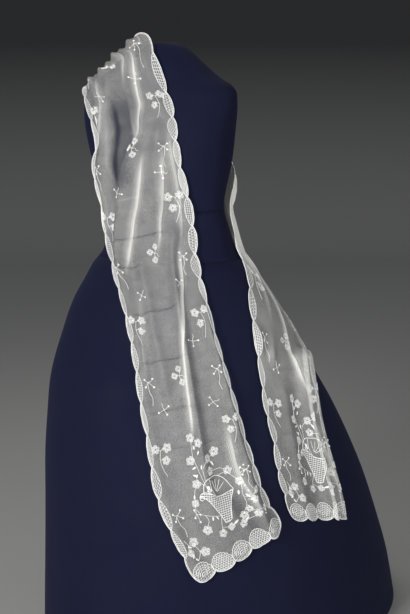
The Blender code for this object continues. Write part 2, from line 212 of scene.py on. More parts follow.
# Pressed creases, as tucks that lie over flat: the places (across, along) in millimetres that each
# one runs through, half its width, how high it stands, how far it lies over towards the inner
# border, and how much denser its net is drawn there: its threads pressed together, and a painted
# highlight along the crease. A trough has a rise below nothing, and its net is drawn thinner so
# that it looks darker: painted shade.
CREASES = table("Crease", "path width rise lay press", [
    # front fall, from the hem up
    # a trough, its net thinned to look darker: painted shade
    ([(60, -45), (52, 60), (42, 110), (40, 200)], 20, -3.5, 0, -0.12),
    ([(96, 60), (84, 130), (76, 200), (80, 340)], 9, 2.6, 5, 0.34),
    ([(-23, 300), (-2, 435), (13, 511), (38, 587), (78, 690), (96, 800)], 7, 3.0, 4, 0.58),
    ([(-102, 430), (-88, 560), (-66, 680)], 8, 2.2, -4, 0.10),
    ([(-89, 700), (-63, 747), (-48, 783), (-18, 853), (16, 929), (46, 1020)], 7, 2.8, 4, 0.42),
    ([(16, 740), (43, 813), (63, 879), (78, 930), (98, 1030)], 7, 2.2, 4, 0.30),
    ([(96, 770), (106, 880), (112, 959), (113, 1070)], 6, 2.0, 3, 0.26),
    ([(-10, 1016), (21, 1050), (39, 1078), (46, 1111), (54, 1166), (82, 1300)], 3.6, 2.0, 2, 0.60),
    ([(20, 1170), (36, 1220), (52, 1265), (62, 1340)], 5, 2.0, 2, 0.30),
    ([(-118, 1025), (-84, 1064), (-68, 1111), (-60, 1180), (-58, 1260)], 5, 2.0, -3, 0.32),
    ([(-50, 930), (-63, 1010), (-60, 1060), (-46, 1120), (-22, 1215)], 14, 3.6, -4, 0.10),
    # two troughs, their net thinned to look darker: painted shade
    ([(-26, 900), (-20, 978), (-14, 1045), (-4, 1110), (2, 1200)], 38, -1.0, 0, -0.15),
    ([(-32, 910), (-42, 978), (-47, 1024), (-38, 1068), (-28, 1180)], 14, -0.5, 0, -0.22),
    # back wrap
    ([(64, 1330), (40, 1500), (30, 1700)], 9, 3.0, 5, 0.20),
    ([(-20, 1350), (-8, 1480), (-34, 1620)], 9, 2.6, -5, 0.18),
    ([(-86, 1390), (-98, 1600), (-74, 1820)], 9, 2.6, 5, 0.18),
    ([(14, 1560), (30, 1730), (26, 1900)], 9, 3.0, -5, 0.20),
    ([(96, 1600), (88, 1740), (84, 1860)], 8, 2.4, 4, 0.14),
    # side fall
    ([(70, 2030), (18, 2158), (-11, 2297), (-36, 2360)], 6, 2.8, -4, 0.50),
    ([(104, 1930), (88, 2060), (60, 2190)], 8, 2.4, -4, 0.16),
    ([(-36, 2340), (-80, 2440), (-94, 2551), (-99, 2625)], 9, 2.8, -4, 0.28),
    ([(-70, 1950), (-84, 2100), (-88, 2300)], 8, 2.4, 4, 0.16),
])
CREASE_FADE = 75.0  # a crease rises from nothing over this length at each end
# The net beside a crease is drawn denser or thinner with it, painted highlight and painted shade
# included, this much further out, and this share of it.
CREASE_SPREAD, SPREAD_SHARE = 13.0, 0.35

# Faint lines across the band, where it lay folded in a drawer, in millimetres. Along each the net
# is drawn a little denser where the press is above nothing, a painted highlight, and thinner where
# it is below, a painted shade.
CROSS_CREASES = table("CrossCrease", "along slant from_across to_across height press", [
    (152, 0.06, -120, 10, 0.7, -0.04),
    (300, -0.05, -110, 60, 0.6, -0.07),
    (392, 0.05, -120, 20, 0.6, -0.10),
    (505, 0.09, -118, 30, 0.9, -0.12),
    (560, -0.04, -60, 90, 0.5, 0.03),
    (622, 0.08, -120, 45, 0.9, -0.12),
    (742, 0.12, -115, -10, 0.9, -0.12),
    (812, 0.10, -100, 70, 0.9, -0.12),
    (905, 0.07, -70, 30, 0.8, 0.08),
    (1060, -0.05, -40, 110, 0.6, 0.03),
    (1390, 0.06, -110, 90, 0.7, -0.04),
    (1575, -0.07, -100, 100, 0.7, 0.04),
    (1790, 0.05, -90, 110, 0.7, -0.04),
    (2150, -0.08, -60, 110, 0.7, 0.04),
    (2285, 0.06, -40, 115, 0.6, -0.04),
    (2440, 0.05, -20, 110, 0.7, -0.04),
])
CROSS_CREASE_WIDTH, CROSS_CREASE_FADE = 4.0, 30.0

# Where the band is bunched up, its net gathers in folds too fine to model one by one.
GATHERS = table("Gather", "start end press", [(1560, 2120, 0.70), (2030, 2400, 0.10)])
GATHER_FADE = 120.0


# ---------------------------------------------------------------- how the band hangs
def smooth_through(places, values, at):
    """A curve through the values that never overshoots them (monotone cubic)."""
    places, values = np.asarray(places, float), np.asarray(values, float)
    step = np.diff(places)
    slope = np.diff(values) / step
    bend = np.zeros_like(values)
    bend[0], bend[-1] = slope[0], slope[-1]
    same_way = slope[:-1] * slope[1:] > 0
    first, second = 2 * step[1:] + step[:-1], step[1:] + 2 * step[:-1]
    with np.errstate(divide="ignore", invalid="ignore"):
        mean = (first + second) / (first / slope[:-1] + second / slope[1:])
    bend[1:-1] = np.where(same_way, mean, 0)
    at = np.clip(at, places[0], places[-1])
    i = np.clip(np.searchsorted(places, at, side="right") - 1, 0, len(step) - 1)
    t, h = (at - places[i]) / step[i], step[i]
    return (
        (2 * t**3 - 3 * t**2 + 1) * values[i]
        + (t**3 - 2 * t**2 + t) * h * bend[i]
        + (3 * t**2 - 2 * t**3) * values[i + 1]
        + (t**3 - t**2) * h * bend[i + 1]
    )


def column(rows, name):
    return np.array([getattr(row, name) for row in rows], float)


def round_the_form(turn, height, out):
    """The points this far out from the form's surface, at these turns (in radians, from its
    front towards its right arm) and heights (in metres)."""
    a, b, x, y, n = (
        smooth_through(column(FORM, "height") * MM, column(FORM, name), height)
        for name in ("half_width", "half_depth", "x", "y", "squareness")
    )
    side, front = np.sin(turn), np.cos(turn)
    reach = (np.abs(side / a) ** n + np.abs(front / b) ** n) ** (-1 / n) * MM + out
    return np.stack([x * MM - reach * side, y * MM - reach * front, height + 0 * reach], axis=-1)


def smooth_step(t):
    t = np.clip(t, 0, 1)
    return t * t * (3 - 2 * t)


def between(at, start, end, fade):
    """1 from start to end, fading to 0 at both."""
    return smooth_step((at - start) / fade) * smooth_step((end - at) / fade)


def rounded(from_middle):
    """A rounded ridge: 1 along its middle, and 0 from 1 away."""
    return np.clip(1 - from_middle**2, 0, 1) ** 2


def blur(grid, passes, axis=0):
    """The grid evened out along one axis, with its ends kept."""
    grid = np.moveaxis(grid, axis, 0).copy()
    for _ in range(passes):
        grid[1:-1] = (grid[:-2] + 2 * grid[1:-1] + grid[2:]) / 4
    return np.moveaxis(grid, 0, axis)


def unit(vectors):
    return vectors / np.linalg.norm(vectors, axis=-1, keepdims=True)


def lengths(points, axis):
    """The distance run along an axis of a grid of points, from its start."""
    steps = np.linalg.norm(np.diff(points, axis=axis), axis=-1)
    start = np.zeros_like(np.take(steps, [0], axis=axis))
    return np.cumsum(np.concatenate([start, steps], axis=axis), axis=axis)


def resample_rows(rows, run, wanted):
    """Each row of points read off at the wanted distances along it."""
    return np.stack(
        [
            np.stack([np.interp(w, r, row[:, k]) for k in range(3)], axis=-1)
            for row, r, w in zip(rows, run, wanted)
        ]
    )


def fold_heights(stations, across):
    """The folds' relative height and lean, for each station and each place across."""
    height = np.zeros((len(stations), len(across)))
    lean = np.zeros_like(height)
    for fold in FOLDS:
        t = np.clip((stations - fold.start) / (fold.end - fold.start), 0, 1)
        # the fold runs on a curve through its three places
        at = (
            (1 - t) ** 2 * fold.at_start
            + 2 * t * (1 - t) * (2 * fold.at_middle - (fold.at_start + fold.at_end) / 2)
            + t**2 * fold.at_end
        )
        raised = fold.height * between(stations, fold.start, fold.end, FOLD_FADE)
        ridge = np.exp(-(np.abs((across - at[:, None]) / fold.width) ** FOLD_ROUNDNESS))
        ridge *= raised[:, None]
        height += ridge**FOLD_MERGE
        lean += ridge * fold.lean
    return height ** (1 / FOLD_MERGE), lean


def folded(base, normals, sideways, height, lean, scale):
    scale = scale[:, None, None]
    return base + scale * (height[..., None] * normals + lean[..., None] * sideways)


class Drape:
    """The hanging band, as a table of points that is even along and across the cloth: at(across,
    along) gives the place of a point of the flat band, in metres from its middle line and from
    its front hem."""

    ROWS, COLUMNS, FINE_COLUMNS = 1201, 129, 257
    # how many times the grid is evened out along and across: the band before it is folded, and
    # which way it faces, before and after
    BAND_PASSES, FACING_PASSES, FINE_PASSES = (90, 300), (40, 12), (2, 1)
    FOLD_PASSES = 80
    HALVINGS = 30

    def __init__(self):
        stations = np.linspace(0, len(STATIONS) - 1, self.ROWS)
        across = np.linspace(0, 1, self.COLUMNS)
        base = self.base(stations, across)
        normals = self.normals(base, *self.FACING_PASSES)
        sideways = unit(np.gradient(base, axis=1))
        height, lean = fold_heights(stations, across)
        scale = self.fold_scale(base, normals, sideways, height, lean)
        points = folded(base, normals, sideways, height, lean, scale)

        run = lengths(points, 1)
        points = resample_rows(points, run, run[:, -1:] * across)
        along = lengths(points, 0).mean(axis=1)
        self.length = along[-1]
        evenly = np.linspace(0, self.length, self.ROWS)
        columns = resample_rows(
            np.moveaxis(points, 1, 0), [along] * self.COLUMNS, [evenly] * self.COLUMNS
        )
        self.table = np.moveaxis(columns, 0, 1)
        self.facing_table = self.normals(self.table, *self.FINE_PASSES)
        self.crease()
        self.facing_table = self.normals(self.table, *self.FINE_PASSES)

    def base(self, stations, across):
        """The band with no folds, lying round the form."""
        numbers = np.arange(len(STATIONS))
        turn, height, out = (
            sum(
                smooth_through(numbers, column(STATIONS, border + name), stations)[:, None] * share
                for border, share in (("outer_", 1 - across), ("inner_", across))
            )
            for name in ("turn", "height", "out")
        )
        base = round_the_form(np.radians(turn), height * MM, out * MM)
        passes_along, passes_across = self.BAND_PASSES
        base = blur(blur(base, passes_along), passes_across, axis=1)
        run = lengths(base, 1)
        return resample_rows(base, run, run[:, -1:] * across)

    @staticmethod
    def normals(points, passes_along, passes_across):
        """Which way the cloth faces, away from the form, evened out."""
        along, over = np.gradient(points, axis=0), np.gradient(points, axis=1)
        normals = unit(np.cross(over, along))
        return unit(blur(blur(normals, passes_along), passes_across, axis=1))

    def fold_scale(self, base, normals, sideways, height, lean):
        """How far to raise each row's folds so that they take up the cloth, found by halving."""
        spacing = lengths(base, 1)[:, -1:] / (base.shape[1] - 1)
        rise = np.abs(np.gradient(height, axis=1) / spacing).max(axis=1)
        low = np.zeros(len(base))
        with np.errstate(divide="ignore"):
            high = np.minimum(TALLEST_FOLD, STEEPEST_FOLD / rise)
        for _ in range(self.HALVINGS):
            middle = (low + high) / 2
            points = folded(base, normals, sideways, height, lean, middle)
            short = lengths(points, 1)[:, -1] < BAND_WIDTH
            low, high = np.where(short, middle, low), np.where(short, high, middle)
        return blur(low, self.FOLD_PASSES)

    def crease(self):
        """Presses the creases into the hanging band, on a finer grid, and stores how much denser or
        thinner its net is drawn: pressed threads, painted highlights and painted shade.
        """
        even, finer = (np.linspace(0, 1, count) for count in (self.COLUMNS, self.FINE_COLUMNS))
        self.table, self.facing_table = (
            resample_rows(table, [even] * self.ROWS, [finer] * self.ROWS)
            for table in (self.table, self.facing_table)
        )
        across = (finer - 0.5) * BAND_WIDTH / MM
        along = np.linspace(0, self.length, self.ROWS)[:, None] / MM
        sideways = unit(np.gradient(self.table, axis=1))
        rise, shift, pressed = (np.zeros(self.table.shape[:2]) for _ in range(3))
        for c in CREASES:
            places = np.array(c.path, float)
            middle = smooth_through(places[:, 1], places[:, 0], along)
            there = between(along, places[0, 1], places[-1, 1], CREASE_FADE)
            tuck, beside = (
                there * rounded((across - middle) / width)
                for width in (c.width, c.width + CREASE_SPREAD)
            )
            rise += tuck * c.rise
            shift += tuck * c.lay
            # denser net along a crease, partly a painted highlight, and thinner net in a trough:
            # painted shade
            pressed += ((1 - SPREAD_SHARE) * tuck + SPREAD_SHARE * beside) * c.press
        for c in CROSS_CREASES:
            line = rounded((along - c.along - c.slant * across) / CROSS_CREASE_WIDTH)
            line = line * between(across, c.from_across, c.to_across, CROSS_CREASE_FADE)
            rise += line * c.height
            # each line across is drawn lighter or darker by the sign of its press: painted
            # highlight and painted shade
            pressed += line * c.press
        for g in GATHERS:
            pressed += between(along, g.start, g.end, GATHER_FADE) * g.press
        self.pressed = pressed[..., None]
        self.table = self.table + MM * (
            rise[..., None] * self.facing_table + shift[..., None] * sideways
        )

    def at(self, across, along):
        return self.read(self.table, across, along)

    def facing(self, across, along):
        return unit(self.read(self.facing_table, across, along))

    def read(self, table, across, along):
        """The value in the table at these places of the flat band."""
        rows, columns = table.shape[:2]
        across, along = np.broadcast_arrays(across, along)
        column_at = np.clip(across / BAND_WIDTH + 0.5, 0, 1) * (columns - 1)
        row_at = np.clip(along / self.length, 0, 1) * (rows - 1)
        i = np.minimum(row_at.astype(int), rows - 2)
        j = np.minimum(column_at.astype(int), columns - 2)
        s, t = (row_at - i)[..., None], (column_at - j)[..., None]
        return (1 - s) * ((1 - t) * table[i, j] + t * table[i, j + 1]) + s * (
            (1 - t) * table[i + 1, j] + t * table[i + 1, j + 1]
        )


@lru_cache(maxsize=1)
def drape():
    return Drape()


def scallop(place, pitch):
    """0 at the tip of a scallop, and 1 in the notch between two."""
    return 1 - np.abs(np.sin(np.pi * place / pitch)) ** SCALLOP_ROUNDNESS


def flat_outline(share, along, length):
    """The flat place of a point of the band: its share of the width, from -1 at the outer border
    to 1 at the inner one, and its row's distance from the hem."""
    half = BAND_WIDTH / 2 - SCALLOP_DEPTH * scallop(along, length / BORDER_SCALLOPS)
    hem = HEM_SCALLOP_DEPTH * scallop(share + 1, 2 / HEM_SCALLOPS)
    start = smooth_step(1 - along / HEM_FADE)
    end = smooth_step(1 - (length - along) / HEM_FADE)
    return share * half, along + hem * (start - end)


# ---------------------------------------------------------------- settings
def linear(code):
    """An sRGB hex colour as linear RGBA."""
    parts = [int(code[i : i + 2], 16) / 255 for i in (1, 3, 5)]
    return [c / 12.92 if c <= 0.04045 else ((c + 0.055) / 1.055) ** 2.4 for c in parts] + [1.0]


def setting(kind, name, description, default, **details):
    return kind(name=name, description=description, default=default, **details)


def length_setting(name, description, default):
    kind = bpy.props.FloatProperty
    return setting(kind, name, description, default, min=0.0, unit="LENGTH", precision=5)


def colour_setting(name, description, code):
    kind = bpy.props.FloatVectorProperty
    return setting(kind, name, description, linear(code), size=4, subtype="COLOR")


def angle_setting(name, description, degrees):
    kind = bpy.props.FloatProperty
    return setting(kind, name, description, radians(degrees), subtype="ANGLE")


class ShawlSizes(bpy.types.PropertyGroup):
    """Sizes of the net and its needlework."""

    net_pitch: length_setting("Net pitch", "From one hole of the net to the next", 2.2 * MM)
    edge_cord: length_setting("Edge cord", "Radius of the cord sewn round the edge", 1.05 * MM)
    outline_cord: length_setting("Outline cord", "Radius of the cord round each filling", 0.5 * MM)
    stem: length_setting("Stem", "Radius of a stem's thread", 0.5 * MM)
    filling_thread: length_setting("Filling thread", "Radius of a filling's thread", 0.36 * MM)
    darning: length_setting("Darning", "Radius of the thread that fills a petal", 0.4 * MM)
    flower: length_setting("Flower", "Across a flower's petals", 19 * MM)
    dot: length_setting("Dot", "Across a satin-stitch dot", 5.0 * MM)
    net_columns: bpy.props.IntProperty(
        name="Net columns", description="Faces across the net", default=132, min=24
    )
    net_rows: bpy.props.IntProperty(
        name="Net rows", description="Faces along the net", default=744, min=100
    )


class ShawlColours(bpy.types.PropertyGroup):
    """Colours of the cloth and of the dress form."""

    net: colour_setting("Net", "Cotton net, washed and a little yellowed", "#F3F2EC")
    thread: colour_setting("Thread", "Embroidery cotton", "#F4F4F1")
    cover: colour_setting("Form cover", "Navy cotton twill", "#080C27")
    floor: colour_setting("Floor", "Pale studio floor", "#A9A9A5")
    backdrop: colour_setting("Backdrop", "Grey background paper", "#4D4D4E")


class StageSettings(bpy.types.PropertyGroup):
    """Where the camera and the lights stand."""

    azimuth: angle_setting("Azimuth", "Camera's turn round the form", 25)
    tilt: angle_setting("Tilt", "How far the camera looks down", 9.3)
    distance: length_setting("Distance", "From the camera to the form's middle", 3.6)
    height: length_setting("Height", "Camera above the floor", 1.45)
    lens: bpy.props.FloatProperty(
        name="Lens", description="Focal length in millimetres", default=88.65, unit="CAMERA"
    )
    key_power: bpy.props.FloatProperty(
        name="Key light", description="Softbox at the left front", default=150.0, unit="POWER"
    )


# ---------------------------------------------------------------- nodes and meshes
def add_node(tree, kind, values=(), **settings):
    """Adds a node with its settings, and sets or links its inputs by name or number. A node given
    as a value stands for its first output."""
    node = tree.nodes.new(kind)
    for name, value in settings.items():
        setattr(node, name, value)
    for name, value in dict(values).items():
        if isinstance(value, bpy.types.Node):
            value = value.outputs[0]
        if isinstance(value, bpy.types.NodeSocket):
            tree.links.new(value, node.inputs[name])
        else:
            node.inputs[name].default_value = value
    return node


def geometry_tree(name, inputs):
    """An empty Geometry Nodes tree with these named inputs: (tree, group input node)."""
    tree = bpy.data.node_groups.new(name, "GeometryNodeTree")
    tree.interface.new_socket("Geometry", in_out="INPUT", socket_type="NodeSocketGeometry")
    for label, kind in inputs.items():
        tree.interface.new_socket(label, in_out="INPUT", socket_type=kind)
    tree.interface.new_socket("Geometry", in_out="OUTPUT", socket_type="NodeSocketGeometry")
    return tree, add_node(tree, "NodeGroupInput")


def finish_tree(tree, geometry, source):
    """Realizes the instances, gives them the material and ends the tree."""
    real = add_node(tree, "GeometryNodeRealizeInstances", {"Geometry": geometry})
    look = source.outputs["Material"]
    dyed = add_node(tree, "GeometryNodeSetMaterial", {"Geometry": real, "Material": look})
    add_node(tree, "NodeGroupOutput", {"Geometry": dyed})
    return tree


@lru_cache(maxsize=None)
def thread_tree():
    """Runs a round thread along every path, with the radius stored at its points."""
    tree, source = geometry_tree(
        "thread_along_paths", {"Sides": "NodeSocketInt", "Material": "NodeSocketMaterial"}
    )
    paths = add_node(tree, "GeometryNodeMeshToCurve", {"Mesh": source.outputs["Geometry"]})
    radius = add_node(
        tree, "GeometryNodeInputNamedAttribute", {"Name": "radius"}, data_type="FLOAT"
    )
    ring = add_node(
        tree,
        "GeometryNodeCurvePrimitiveCircle",
        {"Resolution": source.outputs["Sides"], "Radius": 1.0},
    )
    tube = add_node(
        tree,
        "GeometryNodeCurveToMesh",
        {"Curve": paths, "Profile Curve": ring, "Scale": radius, "Fill Caps": True},
    )
    return finish_tree(tree, tube, source)


@lru_cache(maxsize=None)
def motif_tree():
    """Sets a motif on every point: which one, and its turn, are stored there."""
    tree, source = geometry_tree(
        "motifs_on_points", {"Motifs": "NodeSocketCollection", "Material": "NodeSocketMaterial"}
    )
    motif, turn = (
        add_node(tree, "GeometryNodeInputNamedAttribute", {"Name": name}, data_type=kind)
        for name, kind in (("motif", "INT"), ("turn", "FLOAT"))
    )
    motifs = add_node(
        tree,
        "GeometryNodeCollectionInfo",
        {"Collection": source.outputs["Motifs"], "Separate Children": True, "Reset Children": True},
    )
    placed = add_node(
        tree,
        "GeometryNodeInstanceOnPoints",
        {
            "Points": source.outputs["Geometry"],
            "Instance": motifs,
            "Pick Instance": True,
            "Instance Index": motif,
            "Rotation": add_node(tree, "ShaderNodeCombineXYZ", {"Z": turn}),
        },
    )
    return finish_tree(tree, placed, source)


def link(made):
    bpy.context.scene.collection.objects.link(made)
    return made


def applied(source_mesh, tree, inputs, name):
    """The mesh that the tree makes from this one, as plain data."""
    carrier = link(bpy.data.objects.new(name + "_carrier", source_mesh))
    modifier = carrier.modifiers.new("nodes", "NODES")
    modifier.node_group = tree
    for item in tree.interface.items_tree:
        if item.item_type == "SOCKET" and item.in_out == "INPUT" and item.name in inputs:
            modifier[item.identifier] = inputs[item.name]
    bpy.context.view_layer.update()
    evaluated = carrier.evaluated_get(bpy.context.evaluated_depsgraph_get())
    made = bpy.data.meshes.new_from_object(evaluated)
    made.name = name
    bpy.data.objects.remove(carrier)
    bpy.data.meshes.remove(source_mesh)
    return made


def plain_mesh(name, points, edges=(), faces=(), **attributes):
    """A mesh from points, with numbers stored at them."""
    mesh = bpy.data.meshes.new(name)
    mesh.from_pydata([tuple(p) for p in points], edges, faces)
    for label, values in attributes.items():
        values = np.asarray(values)
        kind = "INT" if values.dtype.kind == "i" else "FLOAT"
        stored = mesh.attributes.new(label, kind, "POINT")
        stored.data.foreach_set("value", values.astype(np.int32 if kind == "INT" else np.float32))
    return mesh


def hang(mesh):
    """Moves a mesh charted flat (millimetres across, along and above the net) onto the drape."""
    flat = np.empty(len(mesh.vertices) * 3)
    mesh.vertices.foreach_get("co", flat)
    across, along, above = (flat.reshape(-1, 3) * MM).T
    places = drape().at(across, along) + above[:, None] * drape().facing(across, along)
    mesh.vertices.foreach_set("co", places.ravel())
    mesh.update()
    return mesh


def mesh_from(shape, name, look):
    """The mesh of a finished bmesh, in one material."""
    mesh = bpy.data.meshes.new(name)
    shape.to_mesh(mesh)
    shape.free()
    mesh.materials.append(look)
    return mesh


def shade_smooth(mesh):
    mesh.polygons.foreach_set("use_smooth", [True] * len(mesh.polygons))
    mesh.update()


def needlework_piece(name, mesh):
    """A piece of the finished shawl, sewn to the net."""
    shade_smooth(mesh)
    made = link(bpy.data.objects.new(name, hang(mesh)))
    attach(made, "root")


# ---------------------------------------------------------------- flat charts
THREAD_SIDES, FINE_THREAD_SIDES = 5, 4
THREAD_LIFT = 0.5  # a thread's middle lies this share of its radius above the net
# A padded shape: its edge and its underside above the net, in millimetres, the share of its outline
# that stands at full height, and how much higher its middle is.
PAD_EDGE, PAD_UNDERSIDE, PAD_SHOULDER, PAD_CROWN = 0.1, -0.2, 0.72, 1.15
LINE_STEP = 7.0  # millimetres between the points of a filling's line


def turned(points, angle):
    """Flat points turned round their origin."""
    return points @ np.array([[cos(angle), sin(angle)], [-sin(angle), cos(angle)]])


def pairs(across, along):
    return np.stack([across, along], axis=-1)


class Chart:
    """Needlework drawn flat, in millimetres: threads that follow paths, and padded shapes."""

    def __init__(self):
        self.threads, self.pads = [], []

    def thread(self, points, radius):
        self.threads.append((np.array(points, float), radius / MM))
        return self

    def pad(self, outline, height):
        """A closed shape filled with stitches, highest in its middle."""
        self.pads.append((np.array(outline, float), height))
        return self

    def add(self, other, place=(0, 0), turn=0.0, flip=False):
        """Another chart, turned by this many degrees or mirrored, set down at a place."""
        mirror = np.array([-1.0 if flip else 1.0, 1.0])
        for points, radius in other.threads:
            self.threads.append((turned(points * mirror, radians(turn)) + place, radius))
        for outline, height in other.pads:
            outline = turned(outline * mirror, radians(turn)) + place
            self.pads.append((outline[::-1] if flip else outline, height))
        return self

    def thread_mesh(self, name):
        """The paths as edges, with the radius stored at each point."""
        points, edges, radii = [], [], []
        for path, radius in self.threads:
            start = len(points)
            points += [(x, y, radius * THREAD_LIFT) for x, y in path]
            edges += [(start + i, start + i + 1) for i in range(len(path) - 1)]
            radii += [radius] * len(path)
        return plain_mesh(name, points, edges, radius=np.array(radii, float))

    def pads_into(self, cloth):
        """Low domes over the outlines, closed underneath."""
        for outline, height in self.pads:
            centre = outline.mean(axis=0)
            rings = [
                [cloth.verts.new((*(centre + (p - centre) * share), level)) for p in outline]
                for share, level in ((1.0, PAD_EDGE), (PAD_SHOULDER, height))
            ]
            top = cloth.verts.new((*centre, height * PAD_CROWN))
            bottom = cloth.verts.new((*centre, PAD_UNDERSIDE))
            low, high = rings
            for i in range(len(outline)):
                j = (i + 1) % len(outline)
                cloth.faces.new((low[i], low[j], high[j], high[i]))
                cloth.faces.new((high[i], high[j], top))
                cloth.faces.new((low[j], low[i], bottom))

    def mesh(self, name, material, sides=THREAD_SIDES):
        cloth = bmesh.new()
        if self.threads:
            tubes = applied(
                self.thread_mesh(name), thread_tree(), {"Sides": sides, "Material": material}, name
            )
            cloth.from_mesh(tubes)
            bpy.data.meshes.remove(tubes)
        self.pads_into(cloth)
        return mesh_from(cloth, name, material)


def curve_through(*knots, count):
    """A smooth path through a few places."""
    knots = np.array(knots, float)
    places = np.arange(len(knots))
    at = np.linspace(0, len(knots) - 1, count)
    return np.stack([smooth_through(places, knots[:, k], at) for k in range(2)], axis=-1)


def clipped_lines(outline, angle, pitch):
    """Parallel lines across a closed shape, cut where they leave it, in short steps."""
    shape = turned(outline, -angle)
    nexts = np.roll(shape, -1, axis=0)
    lines = []
    for level in np.arange(shape[:, 1].min() + pitch / 2, shape[:, 1].max(), pitch):
        crossing = (shape[:, 1] - level) * (nexts[:, 1] - level) < 0
        a, b = shape[crossing], nexts[crossing]
        xs = np.sort(a[:, 0] + (level - a[:, 1]) / (b[:, 1] - a[:, 1]) * (b[:, 0] - a[:, 0]))
        for x0, x1 in zip(xs[::2], xs[1::2]):
            count = max(2, int((x1 - x0) / LINE_STEP) + 2)
            line = pairs(np.linspace(x0, x1, count), np.full(count, level))
            lines.append(turned(line, angle))
    return lines


# ---------------------------------------------------------------- motifs
DOT_HEIGHT, LEAF_HEIGHT, BUD_HEIGHT = 1.3, 0.9, 1.1  # millimetres of padding
LEAF_WIDTH = 0.42  # of its length
DARNING_PITCH = 1.4  # millimetres between a petal's threads


def oval(centre, length, width, turn, count=8, sharp=0.0):
    """A petal or leaf, pointing this many degrees round from across the band."""
    t = np.linspace(0, 2 * pi, count, endpoint=False)
    narrowed = 1 - sharp * np.abs(np.cos(t))
    shape = pairs(length / 2 * np.cos(t), width / 2 * np.sin(t) * narrowed)
    return turned(shape, radians(turn)) + centre


def pointing(turn):
    return np.array([cos(radians(turn)), sin(radians(turn))])


def dots(chart, *places):
    """Satin-stitch dots set down on a chart."""
    across = sizes().dot / MM
    for place in places:
        chart.pad(oval(place, across, across, 0), DOT_HEIGHT)
    return chart


def flower(size, petals, start):
    """Round petals, darned with threads that run out from a small eyelet."""
    across = sizes().flower / MM * size
    chart = Chart()
    for i in range(petals):
        turn = start + 360 / petals * i
        # five petals just touch, and four leave gaps between them
        middle, length, width = across * 0.29, across * 0.44, across * 2.1 / petals
        petal = oval(pointing(turn) * middle, length, width, turn, count=12)
        for line in clipped_lines(petal, radians(turn), DARNING_PITCH):
            chart.thread(line, sizes().darning)
    return chart


def leaf(length, turn):
    middle = pointing(turn) * length / 2
    shape = oval(middle, length, length * LEAF_WIDTH, turn, count=10, sharp=0.35)
    return Chart().pad(shape, LEAF_HEIGHT)


def stems(chart, *paths, radius=None):
    for path in paths:
        chart.thread(curve_through(*path, count=5 * (len(path) - 1) + 1), radius or sizes().stem)
    return chart


# The motifs: their stems, the places of their dots, and their flowers as (place, size, petals,
# turn). The stalk of a spray bends to the border.
MOTIFS = table("Motif", "stems dots flowers", [
    # spray of four dots at the tips of crossed stems
    (
        [
            [(0, -50), (3, -34), (-3, -18), (-4, -4), (-1, 2)],
            [(-10, 6), (-6, 2), (-1, 2), (5, 5), (9, 9)],
            [(-9, -8), (-5, -2), (-1, 2)],
            [(-1, 2), (3, -3), (9, -8)],
        ],
        [(-11, 7), (9, 10), (-10, -9), (10, -9)],
        [],
    ),
    # spray of three flowers
    (
        [
            [(4, -54), (-3, -38), (-7, -18), (-3, 3)],
            [(-14, 6), (-8, 5), (-3, 3), (4, 6), (12, 5)],
            [(-7, -18), (-1, -16), (6, -19)],
        ],
        [],
        [((-15, 8), 1.1, 5, 10), ((13, 6), 1.15, 5, 40), ((7, -20), 1.05, 5, 70)],
    ),
    # sprig of three dots with a hooked tail
    (
        [
            [(-9, -8), (-2, -2), (4, 3), (9, 4), (12, 8)],
            [(-9, 9), (-4, 3), (2, -4), (9, -9)],
        ],
        [(-10, -9), (-10, 10), (10, -10)],
        [],
    ),
    # sprig of three flowers with a curled tail
    (
        [
            [(0, 15), (1, 6), (-1, 0), (2, -12)],
            [(-11, 1), (-5, 3), (-1, 0)],
            [(-1, 0), (6, 1), (12, -6), (16, -5)],
        ],
        [],
        [((0, 17), 0.85, 4, 18), ((-13, 1), 0.85, 4, 18), ((3, -15), 0.9, 4, 18)],
    ),
])


def motif_chart(motif):
    chart = dots(stems(Chart(), *motif.stems), *motif.dots)
    for place, size, petals, turn in motif.flowers:
        chart.add(flower(size, petals, turn), place)
    return chart


def motif_charts():
    """The two sprays for the outer border, the same mirrored for the inner one, and the sprigs."""
    charts = [motif_chart(motif) for motif in MOTIFS]
    mirrored = [Chart().add(spray, flip=True) for spray in charts[:2]]
    return charts[:2] + mirrored + charts[2:]


# Radii of the basket's threads: those round it and down it, its rim, scroll and handle, and the
# fan of stitches inside the handle.
ROUND_THREAD, DOWN_THREAD = 0.7 * MM, 0.42 * MM
RIM_CORD, SCROLL_CORD, HANDLE_CORD, FAN_THREAD = 0.8 * MM, 0.9 * MM, 0.85 * MM, 0.55 * MM


